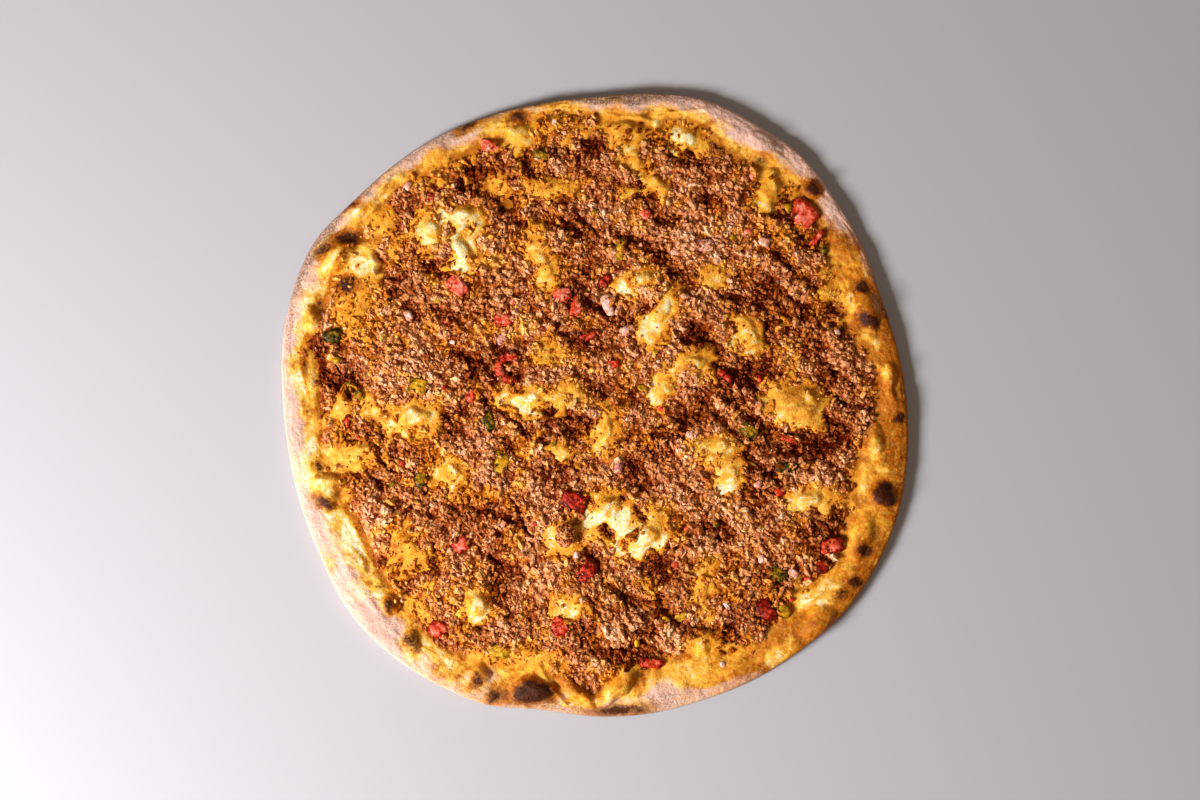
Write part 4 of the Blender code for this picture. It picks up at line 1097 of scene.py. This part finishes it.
def scattered(spacing, seed):
    """One place in each square of this spacing, moved at random, and a little past the topping too."""
    count = int(OUTERMOST / spacing)
    i, j = (a.ravel() for a in np.meshgrid(np.arange(-count, count), np.arange(-count, count)))
    x = spacing * (i + draw(i, j, seed))
    y = spacing * (j + draw(i, j, seed + 1))
    keep = inside_topping(x, y) > -STRAY
    return x[keep], y[keep]


def crumbs(x, y, z, size, rng):
    """At each place an icosahedron: its corners move in and out by up to 0.38 of its radius, it is
    stretched along one side, tilted a little and turned."""
    base, triangles = ball(1)
    count = len(x)
    shape = base[None] * (1.0 + rng.uniform(-0.38, 0.38, (count, len(base))))[..., None]
    stretch = [rng.uniform(0.9, 1.9, count), rng.uniform(0.6, 1.0, count), rng.uniform(0.6, 1.0, count)]
    shape = shape * np.stack(stretch, axis=-1)[:, None]
    turns = (rng.uniform(0, math.tau, count), rng.normal(0, 0.5, count), rng.normal(0, 0.5, count))
    for (a, b), angle in zip(((1, 2), (0, 2), (0, 1)), turns[::-1]):
        c, s = np.cos(angle)[:, None], np.sin(angle)[:, None]
        first, second = shape[..., a].copy(), shape[..., b].copy()
        shape[..., a], shape[..., b] = c * first - s * second, s * first + c * second
    points = (shape * size[:, None, None] + np.stack([x, y, z], axis=-1)[:, None]).reshape(-1, 3)
    faces = triangles[None] + len(base) * np.arange(count)[:, None, None]
    return points, [faces.reshape(-1, 3)]


def crumb_piece(name, spacing, low, high, rise, reach, seed):
    """Crumbs with radii from a low to a high one, which zones of 13 mm change by up to 0.3 of it, each
    raised by a share of its radius. On bare dough they thin out within a reach in millimetres, most
    where it is pale. Few lie in the gaps between clumps, and hardly any on the dice."""
    x, y = scattered(spacing, seed)
    rng = np.random.default_rng(seed)
    z, relief = meat_core(x, y)
    bare = bare_depth(x, y)
    clump, _ = clumps(x, y)
    bald = 0.75 + 0.24 * smooth(paleness(x, y) / 0.55)
    odds = (1.0 - bald * smooth((bare + 2.0) / reach)) * smooth((within(x, y) + 0.5) / 4.0)
    odds = odds * (1.0 - 0.7 * smooth((clump - 0.45) / 0.2))
    deep = on_dice(x, y)
    odds = odds * np.maximum(1.0 - smooth((deep + 0.6 * low - 0.5) / 1.4), 0.04)
    keep = rng.random(len(x)) < odds
    x, y, z, relief, deep, bare = (a[keep] for a in (x, y, z, relief, deep, bare))
    size = rng.uniform(low, high, len(x)) * (1.0 + 0.3 * ripple(x, y, 13.0, 53, 2))
    z = np.maximum(z, dough_height(x, y) - 0.2) + rise * size
    z = np.where(deep > -0.5, np.maximum(z, meat_height(x, y) + 1.4 * smooth(0.3 + deep)), z)
    points, faces = crumbs(x, y, z, size, rng)
    # painted shade where the layer under a crumb is low, the painted shade and light of the meat, and a
    # random tone
    tone = 0.53 + 0.08 * relief + shade(x, y) + rng.normal(0.0, 0.08, len(x))
    tone = np.clip(tone - 0.05 * smooth(bare + 1.5), 0.0, 1.0)
    fat = np.clip(0.8 * fatness(x, y) + rng.normal(0.0, 0.15, len(x)), 0.0, 1.0)
    fields = {"tone": np.repeat(tone, CORNERS), "fat": np.repeat(fat, CORNERS)}
    make_piece(name, points, faces, MINCED_MEAT, "minced_meat", flat=True, **fields)


CRUMB_KINDS = (  # name, spacing, lowest and highest radius, rise, reach, seed
    ("coarse_crumbs", 3.1, 1.1, 2.0, 0.0, 3.5, 51),
    ("middling_crumbs", 2.8, 0.7, 1.2, 0.3, 4.5, 61),
    ("small_crumbs", 2.6, 0.45, 0.75, 0.5, 5.0, 71),
    ("fine_crumbs", 2.7, 0.3, 0.5, 0.7, 6.5, 81),
)
for crumb_kind in CRUMB_KINDS:
    crumb_piece(*crumb_kind)

# %% [markdown]
# A single lump of meat sits in a ring of bare dough. It is a ball with grains in its surface, and it
# carries crumbs of its own.

# %% The lump of mince
def mince_lump():
    """A ball filling its solid's box, its radius changed by grains, and crumbs round its upper half."""
    low, high = (np.array(corner[:]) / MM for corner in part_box("mince_lump"))
    middle, half = (low + high) / 2, (high - low) / 2
    unit, faces = ball(5)
    grain, _ = grains(unit[:, 0] * 5.0 + unit[:, 2] * 3.0, unit[:, 1] * 5.0, 2.2, 91)
    points = middle + unit * half * (1.06 - 0.2 * grain)[:, None]
    # painted shade: darker between the grains, where the surface dips
    tone = np.clip(0.55 - 0.5 * grain, 0.0, 1.0)
    fields = {"tone": tone, "fat": np.full(len(tone), 0.1)}
    make_piece("mince_lump_body", points, [faces], MINCED_MEAT, "minced_meat", ("mince_lump",), **fields)
    seats, _ = ball(3)
    seats = middle + seats[seats[:, 2] > -0.1] * half * 0.95
    rng = np.random.default_rng(92)
    points, faces = crumbs(*seats.T, rng.uniform(0.7, 1.2, len(seats)), rng)
    tone = np.repeat(np.clip(0.45 + rng.normal(0.0, 0.17, len(seats)), 0.0, 1.0), CORNERS)
    fields = {"tone": tone, "fat": np.full(len(tone), 0.1)}
    make_piece("mince_lump_crumbs", points, faces, MINCED_MEAT, "minced_meat", flat=True, **fields)


mince_lump()

# %% [markdown]
# The camera looks almost straight down, as in the photograph. The light comes from a soft window at the
# lower left, low enough to shade the mounds, and a weak lamp and a warm surrounding fill the shadows.
# The camera itself sees a pale backdrop instead of that surrounding. The floor is matt and pale.

# %% Camera, light and floor
PICTURE = (1200, 800)
MM_A_PIXEL = 0.495
BREAD_PIXEL = (594.5, 403.0)
SENSOR_MM = 36.0
CAMERA_HEIGHT, CAMERA_TILT = 1.15, 3.0  # in metres from the bread, and in degrees from straight down
AIM_HEIGHT = 5.0  # in mm over the floor, inside the bread
LAMPS = (  # name, place and size in metres, power in watts
    ("window", (-1.0, -0.63, 0.76), 0.44, 38.5),
    ("fill", (0.9, 0.8, 1.2), 1.6, 2.7),
)
SURROUNDING, BACKDROP, FLOOR_COLOUR = "6f5f4c", "d2cfce", "b3b1b7"
FLOOR_HALF = 4.0  # half a side, in metres


def camera_over_bread():
    """Aims so that the bread's middle falls on its pixel, and shows the width that the picture had."""
    aim = np.array([
        (PICTURE[0] / 2 - BREAD_PIXEL[0]) * MM_A_PIXEL * MM,
        (BREAD_PIXEL[1] - PICTURE[1] / 2) * MM_A_PIXEL * MM,
        AIM_HEIGHT * MM,
    ])
    tilt = math.radians(CAMERA_TILT)
    lens = bpy.data.cameras.new("camera")
    lens.sensor_width = SENSOR_MM
    lens.lens = SENSOR_MM * CAMERA_HEIGHT / (PICTURE[0] * MM_A_PIXEL * MM)
    camera = bpy.data.objects.new("camera", lens)
    camera.location = aim + CAMERA_HEIGHT * np.array([0.0, -math.sin(tilt), math.cos(tilt)])
    camera.rotation_euler = (tilt, 0.0, 0.0)
    bpy.context.scene.collection.objects.link(camera)
    bpy.context.scene.camera = camera


def light_and_floor():
    """Square lamps that look at the middle of the floor, a surrounding of one colour for light and of
    another for the camera, and the floor."""
    scene = bpy.context.scene
    for name, place, size, power in LAMPS:
        lamp = bpy.data.lights.new(name, "AREA")
        lamp.size, lamp.energy = size, power
        light = bpy.data.objects.new(name, lamp)
        light.location = place
        light.rotation_euler = (-Vector(place)).to_track_quat("-Z", "Y").to_euler()
        scene.collection.objects.link(light)
    world = bpy.data.worlds.new("studio")
    world.use_nodes = True
    tree = world.node_tree
    seen = node(tree, "LightPath", {}).outputs["Is Camera Ray"]
    sides = {0: seen, 6: linear(SURROUNDING), 7: linear(BACKDROP)}
    sky = node(tree, "Mix", sides, data_type="RGBA")
    tree.links.new(sky.outputs[2], tree.nodes["Background"].inputs["Color"])
    scene.world = world
    scene.view_settings.view_transform = "Standard"
    finish, _, shader, _ = new_finish("pale_floor", Roughness=0.6)
    shader.inputs["Base Color"].default_value = linear(FLOOR_COLOUR)
    mesh = bpy.data.meshes.new("floor")
    corners = [(FLOOR_HALF * x, FLOOR_HALF * y, 0.0) for x, y in ((-1, -1), (1, -1), (1, 1), (-1, 1))]
    mesh.from_pydata(corners, [], [(0, 1, 2, 3)])
    mesh.materials.append(finish)
    floor = bpy.data.objects.new("floor", mesh)
    scene.collection.objects.link(floor)


camera_over_bread()
light_and_floor()
